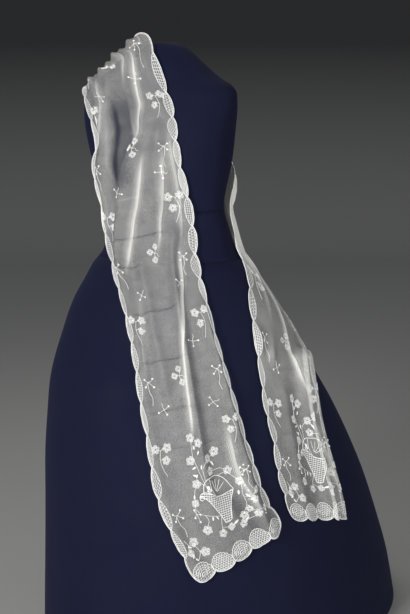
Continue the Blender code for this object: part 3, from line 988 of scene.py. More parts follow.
def basket():
    """An openwork basket with one scrolled end, a horn at the other and a round handle."""
    rim = curve_through(
        (-36, 182), (-30, 189), (-20, 191), (-7, 187), (6, 174), (22, 168), (38, 168), (54, 170),
        count=26,
    )
    right = curve_through((54, 170), (38, 148), (27, 126), (18, 104), count=12)
    foot = curve_through((18, 104), (9, 101), (0, 103), count=5)
    left = curve_through(
        (0, 103), (-3, 125), (-9, 147), (-15, 166), (-24, 177), (-36, 182), count=18
    )
    outline = np.concatenate([rim[:-1], right[:-1], foot[:-1], left[:-1]])
    chart = Chart()
    for angle, pitch, radius in ((-0.22, 5.4, ROUND_THREAD), (radians(72), 5.8, DOWN_THREAD)):
        for line in clipped_lines(outline, angle, pitch):
            chart.thread(line, radius)
    chart.thread(np.concatenate([outline, outline[:1]]), RIM_CORD)
    scroll = np.radians(np.linspace(-40, 280, 12))
    chart.thread(pairs(-31 + 5.0 * np.cos(scroll), 179 + 5.0 * np.sin(scroll)), SCROLL_CORD)
    # the handle, with a bud and a fan of stitches inside it
    handle = curve_through(
        (-22, 191), (-16, 208), (0, 220), (21, 220), (36, 212), (46, 198), (54, 171), count=26
    )
    chart.thread(handle, HANDLE_CORD)
    stems(
        chart,
        [(2, 218), (0, 196), (6, 176)],
        [(10, 212), (11, 196), (13, 184)],
        [(21, 211), (18, 198), (14, 184)],
        [(32, 206), (25, 195), (15, 183)],
        [(40, 196), (29, 188), (16, 181)],
        radius=FAN_THREAD,
    )
    chart.pad(oval((-6, 200), 12, 8, 95, count=10, sharp=0.25), BUD_HEIGHT)
    chart.pad(oval((-10, 193), 8, 3.4, 130), LEAF_HEIGHT)
    return chart.pad(oval((-3, 193), 8, 3.4, 55), LEAF_HEIGHT)


# Flowers, leaves and berries of the end panel, in millimetres and degrees.
BLOOMS = table("Bloom", "across along size petals", [
    (-26, 319, 1.15, 5),
    (-6, 306, 1.15, 5),
    (-35, 268, 1.15, 5),
    (38, 273, 1.25, 5),
    (14, 264, 1.1, 4),
    (13, 234, 1.15, 5),
    (57, 219, 1.15, 5),
    (-33, 214, 1.15, 5),
    (-49, 173, 0.95, 4),
    (-47, 107, 1.2, 5),
    (-18, 85, 1.1, 5),
    (8, 87, 1.0, 4),
    (-89, 94, 1.2, 5),
    (-108, 76, 0.95, 4),
    (-75, 63, 1.25, 5),
    (74, 184, 1.05, 4),
    (48, 94, 1.15, 5),
    (38, 76, 1.1, 5),
    (66, 106, 1.0, 5),
    (88, 128, 1.15, 5),
    (104, 148, 1.0, 4),
    (80, 88, 1.1, 5),
    (108, 88, 1.0, 4),
])
LEAVES = table("Leaf", "across along length turn", [
    (-20, 290, 12, 100),
    (-14, 278, 12, 60),
    (-24, 252, 12, 200),
    (-12, 244, 12, 70),
    (22, 256, 12, -60),
    (28, 242, 12, 100),
    (-26, 230, 12, 150),
    (-30, 226, 11, 60),
    (-45, 192, 11, 250),
    (16, 88, 16, 15),
    (-22, 132, 11, 250),
    (-14, 129, 10, 280),
    (-98, 84, 13, 140),
    (-101, 70, 12, 220),
    (-104, 60, 11, 300),
    (62, 162, 14, 250),
    (72, 148, 14, 300),
    (68, 172, 12, 60),
    (56, 84, 12, 200),
    (96, 80, 12, 320),
])
BERRIES = [
    (84, 214), (93, 205), (87, 196), (96, 220), (78, 170), (80, 155), (-56, 160), (-60, 142),
    (-46, 146), (-53, 130),
]
PANEL_STEMS = [
    [(-6, 184), (-14, 220), (-21, 250), (-28, 275), (-27, 298), (-26, 314)],
    [(-28, 272), (-35, 269)],
    [(-26, 292), (-17, 298), (-8, 305)],
    [(-8, 218), (-8, 240), (2, 256), (14, 262), (26, 266), (36, 271)],
    [(17, 263), (23, 252), (30, 242)],
    [(10, 224), (22, 232), (38, 232), (55, 221)],
    [(30, 216), (48, 218), (62, 204), (73, 186)],
    [(-14, 206), (-26, 218), (-34, 212), (-43, 196), (-49, 174), (-54, 152)],
    [(-57, 158), (-53, 150), (-47, 146)],
    [(-60, 142), (-54, 150), (-53, 132)],
    [(-50, 157), (-44, 146), (-31, 138), (-14, 129), (-1, 123)],
    [(-36, 141), (-34, 128), (-42, 116), (-47, 109)],
    [(-2, 124), (-10, 108), (-14, 96), (-18, 87)],
    [(-12, 98), (-2, 92), (8, 87), (28, 92)],
    [(-110, 108), (-104, 94), (-90, 84), (-86, 68), (-98, 52)],
    [(-90, 84), (-89, 94)],
    [(-86, 68), (-80, 66), (-75, 63)],
    [(-104, 94), (-109, 84), (-104, 62)],
    [(74, 186), (80, 202), (85, 214)],
    [(78, 198), (86, 204), (93, 206)],
    [(73, 184), (72, 166), (66, 146), (66, 126), (48, 96)],
    [(68, 140), (82, 138), (94, 144), (104, 148)],
    [(72, 132), (80, 130), (88, 128)],
    [(64, 118), (74, 104), (80, 88), (38, 76)],
    [(80, 100), (94, 96), (108, 88)],
]


def end_panel():
    chart = stems(basket(), *PANEL_STEMS)
    for bloom in BLOOMS:
        # each flower is turned by an angle of its own
        turn = bloom.along * 7 % 90
        chart.add(flower(bloom.size, bloom.petals, turn), (bloom.across, bloom.along))
    for row in LEAVES:
        chart.add(leaf(row.length, row.turn), (row.across, row.along))
    return dots(chart, *BERRIES)


def both_ends(chart):
    """The chart, and again at the far end of the band, turned half round."""
    return Chart().add(chart).add(chart, (0, drape().length / MM), 180)


# Where sprays are sewn along the borders, in millimetres from the nearer hem: dots and flowers
# take turns.
OUTER_SPRAYS = (160, 302, 452, 595, 729, 857, 980, 1112, 1246)
INNER_SPRAYS = (206, 334, 464, 596, 752, 891, 1016, 1151, 1268)
SPRAY_ACROSS = 96
SPRIGS = table("Sprig", "across along flowers turn", [
    (66, 388, False, -20),
    (-72, 392, False, 70),
    (-14, 462, True, 0),
    (58, 540, False, 40),
    (-62, 663, False, 10),
    (66, 676, False, 190),
    (16, 767, True, -15),
    (-42, 923, False, 20),
    (82, 956, False, -50),
    (15, 1022, True, -8),
    (-60, 1160, False, 150),
    (62, 1206, False, 30),
    (4, 1278, True, 12),
])


def motif_points():
    """Every motif of the ground and borders: across, along, motif number and turn."""
    near = [
        (side * SPRAY_ACROSS, along, i % 2 + (0 if side < 0 else 2), 0)
        for side, row in ((-1, OUTER_SPRAYS), (1, INNER_SPRAYS))
        for i, along in enumerate(row)
    ]
    near += [(s.across, s.along, 4 + s.flowers, s.turn) for s in SPRIGS]
    length = drape().length / MM
    return near + [(-u, length - v, motif, turn + 180) for u, v, motif, turn in near]


def repeated(name, charts, points, look):
    """Charts set down at points by the motif tree."""
    shelf = bpy.data.collections.new(name + "_motifs")
    for i, chart in enumerate(charts):
        motif = chart.mesh(f"{name}_{i}", look, FINE_THREAD_SIDES)
        shelf.objects.link(bpy.data.objects.new(f"{name}_{i}", motif))
    across, along, motif, turn = np.array(points, float).T
    flat = np.stack([across, along, 0 * along], axis=-1)
    places = plain_mesh(name, flat, motif=motif.astype(int), turn=np.radians(turn))
    made = applied(places, motif_tree(), {"Motifs": shelf, "Material": look}, name)
    for motif_object in list(shelf.objects):
        bpy.data.meshes.remove(motif_object.data)
    bpy.data.collections.remove(shelf)
    return made


# ---------------------------------------------------------------- borders and hems
def filled(chart, outline, lines, radius):
    """Fills an outline with crossing threads: each set is (angle in degrees, pitch)."""
    for angle, pitch in lines:
        for line in clipped_lines(outline, radians(angle), pitch):
            chart.thread(line, radius)
    return chart


# What fills the leaf in each scallop of the border: how far in the leaf reaches at its middle, in
# millimetres, its threads' radius, and its sets of parallel lines as (angle, pitch).
BORDER_FILLINGS = table("Filling", "reach radius lines", [
    (17, 0.5 * MM, [(8, 2.2)]),
    (22, 0.38 * MM, [(57, 5.4), (-57, 5.4)]),
    (20, 0.38 * MM, [(90, 4.4), (-12, 5.2)]),
    (16, 0.5 * MM, [(-32, 3.0)]),
    (21, 0.35 * MM, [(30, 6.2), (-30, 6.2), (90, 6.2)]),
])
PLAIN_SCALLOPS = (18, 19)  # on the turn of the shoulder, where the inner border is left plain
# A leaf's rims, in millimetres in from the scallops' tips: the outer one keeps this far inside the
# edge, the inner one starts here, and the cord along that one ends here.
LEAF_MARGIN, LEAF_START, LEAF_CORD_END = 2.6, 9.5, 8.5
# The share of a scallop that its leaf runs along, and how far from the notches its cord ends.
LEAF_SPAN, CORD_INSET = (0.05, 0.97), 0.5
# The leaf is fullest a little before its middle, and blunt at both ends.
LEAF_SKEW, LEAF_BLUNTNESS = 0.85, 0.8


def border_leaf(filling):
    """A leaf of filling inside one scallop, from one notch to the next. The tips of the scallops
    lie at 0 across."""
    pitch = drape().length / BORDER_SCALLOPS / MM
    t = np.linspace(*LEAF_SPAN, 17)
    outer = SCALLOP_DEPTH / MM * (1 - np.sin(pi * t) ** SCALLOP_ROUNDNESS) + LEAF_MARGIN
    fullness = np.sin(pi * t**LEAF_SKEW) ** LEAF_BLUNTNESS
    leaf_rim = pairs(LEAF_START + (filling.reach - LEAF_START) * fullness, t * pitch)
    outline = np.concatenate([pairs(outer, t * pitch), leaf_rim[::-1]])
    first, last = [(LEAF_CORD_END, CORD_INSET)], [(LEAF_CORD_END, pitch - CORD_INSET)]
    cord = np.concatenate([first, leaf_rim, last])
    chart = filled(Chart(), outline, filling.lines, filling.radius)
    return chart.thread(cord, sizes().outline_cord)


def border_points():
    """One leaf for each scallop of both borders, its filling picked in turn: across, along,
    filling and turn. The domes of the hems fill the corners."""
    pitch = drape().length / BORDER_SCALLOPS / MM
    half = BAND_WIDTH / 2 / MM
    kinds = len(BORDER_FILLINGS)
    scallops = range(1, BORDER_SCALLOPS - 1)
    return [(-half, i * pitch, (i * 2) % kinds, 0) for i in scallops] + [
        (half, (i + 1) * pitch, (i * 3 + 1) % kinds, 180)
        for i in scallops
        if i not in PLAIN_SCALLOPS
    ]


# A dome of the hem, in millimetres: half its width, how far its arch springs above the edge, how
# much it rises from there, and half the width that its filling takes up.
HEM_PITCH = BAND_WIDTH / HEM_SCALLOPS / MM
DOME_HALF, DOME_SPRING, DOME_RISE, FILLED_HALF = 25, 13, 31, 23.5
DOME_MARGIN = 3.6  # the filling keeps this far inside the edge
DOME_CLOSENESS = 0.965  # the domes stand a little closer than the scallops, clear of the corners
# The rim's waves: how many, and how far they stand out to the sides and at the top.
RIM_WAVES, WAVE_ASIDE, WAVE_UP = 9, 2, 2.6
# A swirled filling: rounds of thread shrink from the arch to these shares of it, towards this
# place, and zigzag this much.
SWIRL_MIDDLE = np.array([2.0, 10.0])
SWIRL_ROUNDS, SWIRL_ZIGZAG = np.linspace(0.86, 0.2, 5), 0.7
# How much thicker those rounds and the honeycomb are than a filling's thread, and the rim than an
# outline cord.
ROUNDS_THICKER, HONEYCOMB_THICKER, RIM_THICKER = 1.8, 1.2, 1.6


def hem_dome(swirled):
    """The filling of one scallop of the hem: rounds of thread, or honeycomb, under a waved rim."""
    x = np.linspace(-FILLED_HALF, FILLED_HALF, 25)
    arch = pairs(x, DOME_SPRING + DOME_RISE * np.sqrt(1 - (x / DOME_HALF) ** 2))
    notch = 1 - np.cos(pi * x / HEM_PITCH) ** SCALLOP_ROUNDNESS
    foot = pairs(x, HEM_SCALLOP_DEPTH / MM * notch + DOME_MARGIN)
    outline = np.concatenate([foot, arch[::-1]])
    thread = sizes().filling_thread
    chart = Chart()
    if swirled:
        for share in SWIRL_ROUNDS:
            round_of_thread = SWIRL_MIDDLE + (arch - SWIRL_MIDDLE) * share
            # the smallest rounds are too small to zigzag
            round_of_thread[:, 1] += SWIRL_ZIGZAG * (-1) ** np.arange(len(x)) * (share > 0.4)
            chart.thread(round_of_thread, thread * ROUNDS_THICKER)
        filled(chart, outline, [(12, 5.2), (78, 6.4)], thread)
    else:
        comb = [(angle, 5.4) for angle in (0, 60, -60)]
        filled(chart, outline, comb, thread * HONEYCOMB_THICKER)
    share = np.linspace(0, 1, 61)
    across = DOME_HALF * (2 * share - 1)
    rise = np.sqrt(np.clip(1 - (across / (DOME_HALF + 0.01)) ** 2, 0, 1))
    rim = pairs(across * 1.02, DOME_SPRING + (DOME_RISE + 1) * rise)
    waves = np.abs(np.sin(share * pi * RIM_WAVES))[:, None]
    rim += waves * pairs(across / DOME_HALF * WAVE_ASIDE, rise * WAVE_UP)
    return chart.thread(rim, sizes().outline_cord * RIM_THICKER)


def hem_charts():
    chart = Chart()
    for i in range(HEM_SCALLOPS):
        across = (i - (HEM_SCALLOPS - 1) / 2) * HEM_PITCH
        chart.add(hem_dome(i % 2 == 0), (across * DOME_CLOSENESS, 0))
    return both_ends(chart)


# ---------------------------------------------------------------- materials
def surface(name, colour, roughness, constants=()):
    """A new material with these constants on its shader: (material, node tree, shader)."""
    made = bpy.data.materials.new(name)
    made.use_nodes = True
    made.diffuse_color = colour
    shader = made.node_tree.nodes["Principled BSDF"]
    values = {"Base Color": colour, "Roughness": roughness, **dict(constants)}
    for socket, value in values.items():
        shader.inputs[socket].default_value = value
    return made, made.node_tree, shader


NOISE_RANGE = {"From Min": 0.3, "From Max": 0.7}  # where most of a noise's values lie
# How solid the net is in a hole and in a thread: the threads are finer than they are drawn.
NET_HOLE, NET_THREAD = 0.02, 0.38
# The sum of the three cosine waves at a hole's edge and in the thread beside it.
HOLE_EDGE, THREAD_EDGE = 0.4, -0.8
# How far wear has pulled the holes out of line, and in clouds of what size (noise scale).
WEAR_PULL, WEAR_SCALE = 2.4 * MM, 55.0
# Washing has left the threads a little closer here and there, in clouds and from mesh to mesh:
# noise scale, and by what share.
CLOSENESS = ((30.0, 0.12), (260.0, 0.16))
# The lowest value that the creases store, in the troughs painted darkest, and how much of the net's
# threads is left there: painted shade.
DEEPEST_PAINTED_SHADE, DENSITY_IN_DEEPEST_SHADE = -0.25, 0.15


def net_material(colour, pitch):
    """Cotton bobbinet: threads cross at 60 degrees round small hexagonal holes, so the eye sees
    through it to what lies behind, softly veiled. The real holes are 1.5 mm apart, too fine to
    show, so they are drawn coarser."""
    made, tree, shader = surface("cotton_bobbinet", colour, 0.9)
    cut = add_node(tree, "ShaderNodeUVMap", uv_map="cut")
    wear = add_node(
        tree, "ShaderNodeTexNoise", {"Vector": cut, "Scale": WEAR_SCALE, "Detail": 1.0}
    )
    pulled = add_node(
        tree,
        "ShaderNodeVectorMath",
        {0: wear.outputs["Color"], 1: (WEAR_PULL,) * 3, 2: cut},
        operation="MULTIPLY_ADD",
    )
    threads = None
    for angle in (0, 60, 120):
        # one set of threads: a cosine wave across its own direction
        placed = add_node(
            tree, "ShaderNodeVectorMath", {0: pulled, 1: (*pointing(angle), 0)},
            operation="DOT_PRODUCT",
        )
        phase = {0: placed.outputs["Value"], 1: 2 * pi / pitch}
        turns = add_node(tree, "ShaderNodeMath", phase, operation="MULTIPLY")
        wave = add_node(tree, "ShaderNodeMath", {0: turns}, operation="COSINE")
        if threads:
            wave = add_node(tree, "ShaderNodeMath", {0: threads, 1: wave}, operation="ADD")
        threads = wave
    net = {"From Min": HOLE_EDGE, "From Max": THREAD_EDGE, "To Min": NET_HOLE, "To Max": NET_THREAD}
    density = add_node(tree, "ShaderNodeMapRange", {"Value": threads, **net})
    for scale, share in CLOSENESS:
        noise = add_node(
            tree, "ShaderNodeTexNoise", {"Vector": cut, "Scale": scale, "Detail": 2.0}
        )
        span = {**NOISE_RANGE, "To Min": 1 - share, "To Max": 1 + share}
        closeness = add_node(tree, "ShaderNodeMapRange", {"Value": noise, **span})
        density = add_node(
            tree, "ShaderNodeMath", {0: density, 1: closeness}, operation="MULTIPLY"
        )
    # painted shade and highlight: the net is thinned in the hollows so that they look darker, and
    # made denser along the creases, where its threads are pressed together, and where the band is
    # gathered
    pressed = add_node(tree, "ShaderNodeAttribute", attribute_name="pressed").outputs["Fac"]
    span = {"From Min": DEEPEST_PAINTED_SHADE, "From Max": 0.0, "To Min": DENSITY_IN_DEEPEST_SHADE, "To Max": 1.0}
    painted_shade = add_node(tree, "ShaderNodeMapRange", {"Value": pressed, **span})
    density = add_node(tree, "ShaderNodeMath", {0: density, 1: painted_shade}, operation="MULTIPLY")
    added = add_node(tree, "ShaderNodeMath", {0: pressed, 1: 0.0}, operation="MAXIMUM")
    density = add_node(
        tree, "ShaderNodeMath", {0: density, 1: added}, operation="ADD", use_clamp=True
    )
    tree.links.new(density.outputs[0], shader.inputs["Alpha"])
    return made


STITCH = 1.0 * MM  # the real stitches are half as long, too fine to show


def thread_material(colour):
    """Mercerized cotton thread: a soft white with a faint lustre, ribbed by the stitches."""
    lustre = {"Sheen Weight": 0.15, "Sheen Roughness": 0.5}
    made, tree, shader = surface("embroidery_cotton", colour, 0.6, lustre)
    place = add_node(tree, "ShaderNodeTexCoord").outputs["Object"]
    ribs = add_node(
        tree, "ShaderNodeTexNoise", {"Vector": place, "Scale": 1 / STITCH, "Detail": 1.0}
    )
    relief = {"Height": ribs, "Strength": 0.35, "Distance": 0.3 * MM}
    bump = add_node(tree, "ShaderNodeBump", relief)
    tree.links.new(bump.outputs["Normal"], shader.inputs["Normal"])
    return made


# From a rib of the twill to the furrow beside it, along the three axes together. A real twill has
# ribs twice as fine, too fine to show.
TWILL_STEP = 1.2 * MM
HALF_WAVE = 0.314  # a Wave texture of this scale rises or falls once in a metre


def cover_material(colour):
    """Navy cotton twill: dull diagonal ribs, with a soft bloom where the nap catches the light."""
    bloom = {
        "Specular IOR Level": 0.2,
        "Sheen Weight": 0.04,
        "Sheen Roughness": 0.6,
        "Sheen Tint": linear("#7F8BD0"),
    }
    made, tree, shader = surface("navy_cotton_twill", colour, 0.85, bloom)
    place = add_node(tree, "ShaderNodeTexCoord").outputs["Object"]
    ribs = add_node(
        tree,
        "ShaderNodeTexWave",
        {"Vector": place, "Scale": HALF_WAVE / TWILL_STEP, "Distortion": 0.4, "Detail": 1.0},
        bands_direction="DIAGONAL",
    )
    relief = {"Height": ribs.outputs["Fac"], "Strength": 0.25, "Distance": 0.25 * MM}
    bump = add_node(tree, "ShaderNodeBump", relief)
    tree.links.new(bump.outputs["Normal"], shader.inputs["Normal"])
    # the nap lies unevenly, so the cloth is a little duller in places
    nap = add_node(tree, "ShaderNodeTexNoise", {"Vector": place, "Scale": 9.0, "Detail": 4.0})
    span = {**NOISE_RANGE, "To Min": 0.8, "To Max": 0.9}
    dullness = add_node(tree, "ShaderNodeMapRange", {"Value": nap, **span})
    tree.links.new(dullness.outputs["Result"], shader.inputs["Roughness"])
    return made


def backdrop_material(floor, wall):
    """Seamless background paper, pale on the floor and darker up the wall."""
    made, tree, shader = surface("background_paper", floor, 0.95)
    place = add_node(tree, "ShaderNodeTexCoord").outputs["Object"]
    height = add_node(tree, "ShaderNodeSeparateXYZ", {"Vector": place}).outputs["Z"]
    span = {"From Min": 0.0, "From Max": WALL_DARK_FROM}
    rise = add_node(tree, "ShaderNodeMapRange", {"Value": height, **span})
    # 6, 7 and the output 2 are the node's colours
    mixed = add_node(tree, "ShaderNodeMix", {"Factor": rise, 6: floor, 7: wall}, data_type="RGBA")
    tree.links.new(mixed.outputs[2], shader.inputs["Base Color"])
    return made


# ---------------------------------------------------------------- the dress form
FORM_SIDES = 144
NECK_ROUNDING = 12 * MM


def lofted(name, heights, look, top_rounding):
    """A closed length of the form, through its sections."""
    body = bmesh.new()
    turns = np.linspace(0, 2 * pi, FORM_SIDES, endpoint=False)
    levels = [(height, 0.0) for height in heights]
    if top_rounding:
        # the top edge is a quarter round, clear of the last level below it
        arch = np.radians(np.linspace(0, 90, 8))
        top = heights[-1]
        levels = [level for level in levels if level[0] < top - top_rounding - 1 * MM] + [
            (top - top_rounding * (1 - sin(a)), -top_rounding * (1 - cos(a))) for a in arch
        ]
    rings = [
        [body.verts.new(place) for place in round_the_form(turns, height, out)]
        for height, out in levels
    ]
    for low, high in zip(rings, rings[1:]):
        for i in range(FORM_SIDES):
            j = (i + 1) % FORM_SIDES
            body.faces.new((low[i], low[j], high[j], high[i]))
    body.faces.new(rings[0][::-1])
    body.faces.new(rings[-1])
    bmesh.ops.recalc_face_normals(body, faces=body.faces)
    mesh = mesh_from(body, name, look)
    mesh.polygons.foreach_set("use_smooth", [len(p.vertices) == 4 for p in mesh.polygons])
    return link(bpy.data.objects.new(name, mesh))


def levels_between(low, high, spacing):
    return list(np.linspace(low, high, max(2, round((high - low) / spacing) + 1)))


# ---------------------------------------------------------------- the net
def net_mesh(columns, rows):
    """The band of net, with its scalloped outline, and the flat cut as its UV map."""
    length = drape().length
    share = np.linspace(-1, 1, columns + 1)
    along = np.linspace(0, length, rows + 1)[:, None]
    across, along = np.broadcast_arrays(*flat_outline(share, along, length))
    first = np.arange(rows)[:, None] * (columns + 1) + np.arange(columns)
    faces = np.stack([first, first + 1, first + columns + 2, first + columns + 1], axis=-1)
    places = drape().at(across, along).reshape(-1, 3)
    # the net's press and painted light: painted highlight along creases, painted shade in troughs
    pressed = drape().read(drape().pressed, across, along).ravel()
    mesh = plain_mesh("shawl_net", places, (), faces.reshape(-1, 4).tolist(), pressed=pressed)
    cut = np.stack([across + BAND_WIDTH / 2, along], axis=-1).reshape(-1, 2)
    corners = np.empty(len(mesh.loops), dtype=np.int32)
    mesh.loops.foreach_get("vertex_index", corners)
    mesh.uv_layers.new(name="cut").data.foreach_set("uv", cut[corners].ravel())
    shade_smooth(mesh)
    return mesh


OUTLINE_STEP = 2.8 * MM


def outline_path(inset):
    """The band's scalloped outline, this far inside its edge, as a closed loop in millimetres."""
    length = drape().length
    sides = np.linspace(0, length, round(length / OUTLINE_STEP))
    ends = np.linspace(-1, 1, round(BAND_WIDTH / OUTLINE_STEP))
    loop = [
        flat_outline(-1 + 0 * sides, sides, length),
        flat_outline(ends, length + 0 * ends, length),
        flat_outline(1 + 0 * sides, sides[::-1], length),
        flat_outline(ends[::-1], 0 * ends, length),
    ]
    points = np.concatenate([pairs(*side)[:-1] for side in loop]) / MM
    inward = np.roll(points, -1, axis=0) - np.roll(points, 1, axis=0)
    inward = unit(pairs(inward[:, 1], -inward[:, 0]))
    return points + inset / MM * inward


# ---------------------------------------------------------------- the stage
FORM_MIDDLE = Vector((0, -0.337, 0))  # under the waist, in metres
AIM_ASIDE = 0.0869  # how far to its side the camera aims
LIT_HEIGHT = 0.95  # where the lights point
SENSOR = 36.0
SKY, SKY_STRENGTH = "#C9CBD0", 0.33
# Softboxes: metres to the camera's right of the form, in front of it and above the floor, how wide
# each is, and its power beside the key light's.
LAMPS = table("Lamp", "name right front up width power", [
    ("key", -1.9, 3.4, 1.4, 1.2, 1.0),
    ("fill", 2.4, 2.9, 1.0, 2.2, 0.4),
    ("top", -0.6, -1.4, 3.2, 2.0, 0.12),
])
# The backdrop, in metres: how far its floor comes forward and its wall stands back, the radius of
# the curve between them, the wall's height and half its width.
FLOOR_FRONT, WALL_BACK, SWEEP, WALL_HEIGHT, HALF_BACKDROP = 14.0, 11.0, 4.0, 9.0, 22.0
WALL_DARK_FROM = 1.6  # the height where the paper is darkest
FLOOR_GAP = 2 * MM  # the paper lies this far under the form's base


def backdrop(turn, look):
    """The floor, swept up behind the form in one wide curve."""
    curve = np.radians(np.linspace(0, 90, 13))
    profile = [(-FLOOR_FRONT, 0.0)]
    profile += [(WALL_BACK - SWEEP + SWEEP * sin(a), SWEEP * (1 - cos(a))) for a in curve]
    profile += [(WALL_BACK, WALL_HEIGHT)]
    sides = (-HALF_BACKDROP, HALF_BACKDROP)
    points = [(side, away, up - FLOOR_GAP) for away, up in profile for side in sides]
    faces = [(i, i + 1, i + 3, i + 2) for i in range(0, len(points) - 2, 2)]
    mesh = plain_mesh("backdrop", points, (), faces)
    mesh.transform(Matrix.Rotation(turn, 4, "Z"))
    mesh.materials.append(look)
    shade_smooth(mesh)
    return link(bpy.data.objects.new("backdrop", mesh))


# ---------------------------------------------------------------- operators
def sizes():
    return bpy.context.scene.shawl_sizes


def colours():
    return bpy.context.scene.shawl_colours


def stored_material(name, make, *values):
    """The material of this name, made the first time that it is asked for."""
    return bpy.data.materials.get(name) or make(*values)


def thread_look():
    return stored_material("embroidery_cotton", thread_material, colours().thread)


def sewn(name, chart, sides=THREAD_SIDES):
    """Sews one chart to the net as a piece."""
    needlework_piece(name, chart.mesh(name, thread_look(), sides))


def scattered(name, charts, points):
    """Sews charts to the net as one piece, each at its own points."""
    needlework_piece(name, repeated(name, charts, points, thread_look()))


class SHAWL_OT_form(bpy.types.Operator):
    """Builds the dress form's torso, waistband and skirt"""

    bl_idname = "shawl.form"
    bl_label = "Dress Form"

    def execute(self, context):
        look = stored_material("navy_cotton_twill", cover_material, colours().cover)
        low, high = WAISTBAND
        for name, heights, rounding in (
            ("skirt", levels_between(0.0, low - PIECE_GAP, 20 * MM), 0.0),
            ("waistband", levels_between(low, high, 10 * MM), 0.0),
            ("torso", levels_between(high + PIECE_GAP, FORM_TOP, 8 * MM), NECK_ROUNDING),
        ):
            made = lofted("form_" + name + "_cover", heights, look, rounding)
            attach(made, "root")
            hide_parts("form_" + name)
        return {"FINISHED"}


class SHAWL_OT_net(bpy.types.Operator):
    """Hangs the band of net, one sheet from hem to hem"""

    bl_idname = "shawl.net"
    bl_label = "Net"

    def execute(self, context):
        mesh = net_mesh(sizes().net_columns, sizes().net_rows)
        colour, pitch = colours().net, sizes().net_pitch
        mesh.materials.append(stored_material("cotton_bobbinet", net_material, colour, pitch))
        made = link(bpy.data.objects.new("shawl_net", mesh))
        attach(made, "root")
        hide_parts(*SHAWL_NODES)
        round(drape().length, 3)
        return {"FINISHED"}


class SHAWL_OT_edge(bpy.types.Operator):
    """Sews a cord round the scalloped edge, and a thinner one inside it"""

    bl_idname = "shawl.edge"
    bl_label = "Edge Cords"

    def execute(self, context):
        chart = Chart()
        for inset, radius in ((0.3 * MM, sizes().edge_cord), (3.0 * MM, sizes().outline_cord)):
            loop = outline_path(inset)
            chart.thread(np.concatenate([loop, loop[:1]]), radius)
        sewn("edge_cords", chart)
        return {"FINISHED"}


class SHAWL_OT_borders(bpy.types.Operator):
    """Works a leaf of filling into each scallop of the long borders"""

    bl_idname = "shawl.borders"
    bl_label = "Border Fillings"

    def execute(self, context):
        leaves = [border_leaf(filling) for filling in BORDER_FILLINGS]
        scattered("border_fillings", leaves, border_points())
        return {"FINISHED"}


class SHAWL_OT_hems(bpy.types.Operator):
    """Works the domes of filling into the scallops of both hems"""

    bl_idname = "shawl.hems"
    bl_label = "Hem Fillings"

    def execute(self, context):
        sewn("hem_fillings", hem_charts(), FINE_THREAD_SIDES)
        return {"FINISHED"}


class SHAWL_OT_sprigs(bpy.types.Operator):
    """Sews the sprays along the borders and the sprigs over the ground"""

    bl_idname = "shawl.sprigs"
    bl_label = "Sprays and Sprigs"

    def execute(self, context):
        scattered("sprays_and_sprigs", motif_charts(), motif_points())
        return {"FINISHED"}


class SHAWL_OT_panels(bpy.types.Operator):
    """Embroiders a basket and its flowers above each hem"""

    bl_idname = "shawl.panels"
    bl_label = "End Panels"

    def execute(self, context):
        sewn("end_panels", both_ends(end_panel()))
        return {"FINISHED"}


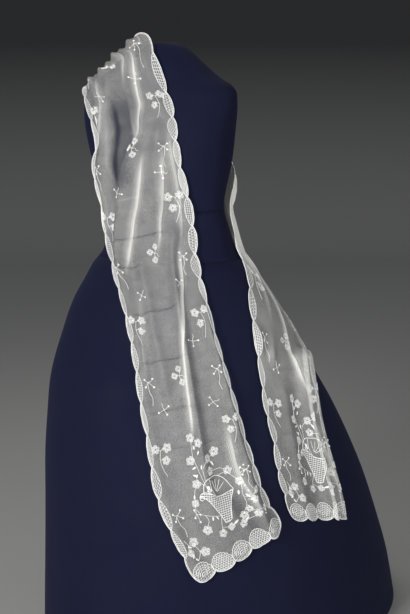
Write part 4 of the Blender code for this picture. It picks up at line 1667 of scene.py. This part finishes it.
class SHAWL_OT_stage(bpy.types.Operator):
    """Sets up the floor, the backdrop, the lights and the camera"""

    bl_idname = "shawl.stage"
    bl_label = "Stage"

    def execute(self, context):
        stage = context.scene.shawl_stage
        turn = stage.azimuth
        backdrop(turn, backdrop_material(colours().floor, colours().backdrop))
        view = Vector((-sin(turn), cos(turn), 0))
        side = Vector((cos(turn), sin(turn), 0))
        aim = FORM_MIDDLE + AIM_ASIDE * side

        lens = bpy.data.cameras.new("camera")
        lens.lens, lens.sensor_width = stage.lens, SENSOR
        camera = link(bpy.data.objects.new("camera", lens))
        camera.location = aim - stage.distance * view + Vector((0, 0, stage.height))
        camera.rotation_euler = (pi / 2 - stage.tilt, 0, turn)
        context.scene.camera = camera

        for row in LAMPS:
            lamp = bpy.data.lights.new(row.name, "AREA")
            lamp.size, lamp.energy = row.width, stage.key_power * row.power
            made = link(bpy.data.objects.new(row.name + "_light", lamp))
            made.location = aim + side * row.right - view * row.front + Vector((0, 0, row.up))
            towards = aim + Vector((0, 0, LIT_HEIGHT)) - made.location
            made.rotation_euler = towards.to_track_quat("-Z", "Y").to_euler()

        world = bpy.data.worlds.new("studio")
        world.use_nodes = True
        sky = world.node_tree.nodes["Background"].inputs
        sky["Color"].default_value = linear(SKY)
        sky["Strength"].default_value = SKY_STRENGTH
        context.scene.world = world
        context.scene.view_settings.view_transform = "Standard"
        return {"FINISHED"}


class SHAWL_PT_panel(bpy.types.Panel):
    """Sizes, colours and steps of the shawl"""

    bl_label = "Lace Shawl"
    bl_space_type = "VIEW_3D"
    bl_region_type = "UI"
    bl_category = "Lace Shawl"

    def draw(self, context):
        for group in SETTINGS:
            settings = getattr(context.scene, group)
            for name in settings.__annotations__:
                self.layout.prop(settings, name)
        for step in STEPS:
            self.layout.operator(step.bl_idname)


SETTINGS = {
    "shawl_sizes": ShawlSizes,
    "shawl_colours": ShawlColours,
    "shawl_stage": StageSettings,
}
STEPS = [
    SHAWL_OT_form,
    SHAWL_OT_net,
    SHAWL_OT_edge,
    SHAWL_OT_borders,
    SHAWL_OT_hems,
    SHAWL_OT_sprigs,
    SHAWL_OT_panels,
    SHAWL_OT_stage,
]
CLASSES = [*SETTINGS.values(), *STEPS, SHAWL_PT_panel]


def register():
    for cls in CLASSES:
        bpy.utils.register_class(cls)
    for name, group in SETTINGS.items():
        setattr(bpy.types.Scene, name, bpy.props.PointerProperty(type=group))


def unregister():
    for name in SETTINGS:
        delattr(bpy.types.Scene, name)
    for cls in reversed(CLASSES):
        bpy.utils.unregister_class(cls)


def main():
    register()
    bpy.ops.shawl.form()
    bpy.ops.shawl.net()
    bpy.ops.shawl.edge()
    bpy.ops.shawl.borders()
    bpy.ops.shawl.hems()
    bpy.ops.shawl.sprigs()
    bpy.ops.shawl.panels()
    bpy.ops.shawl.stage()


if __name__ == "__main__":
    main()
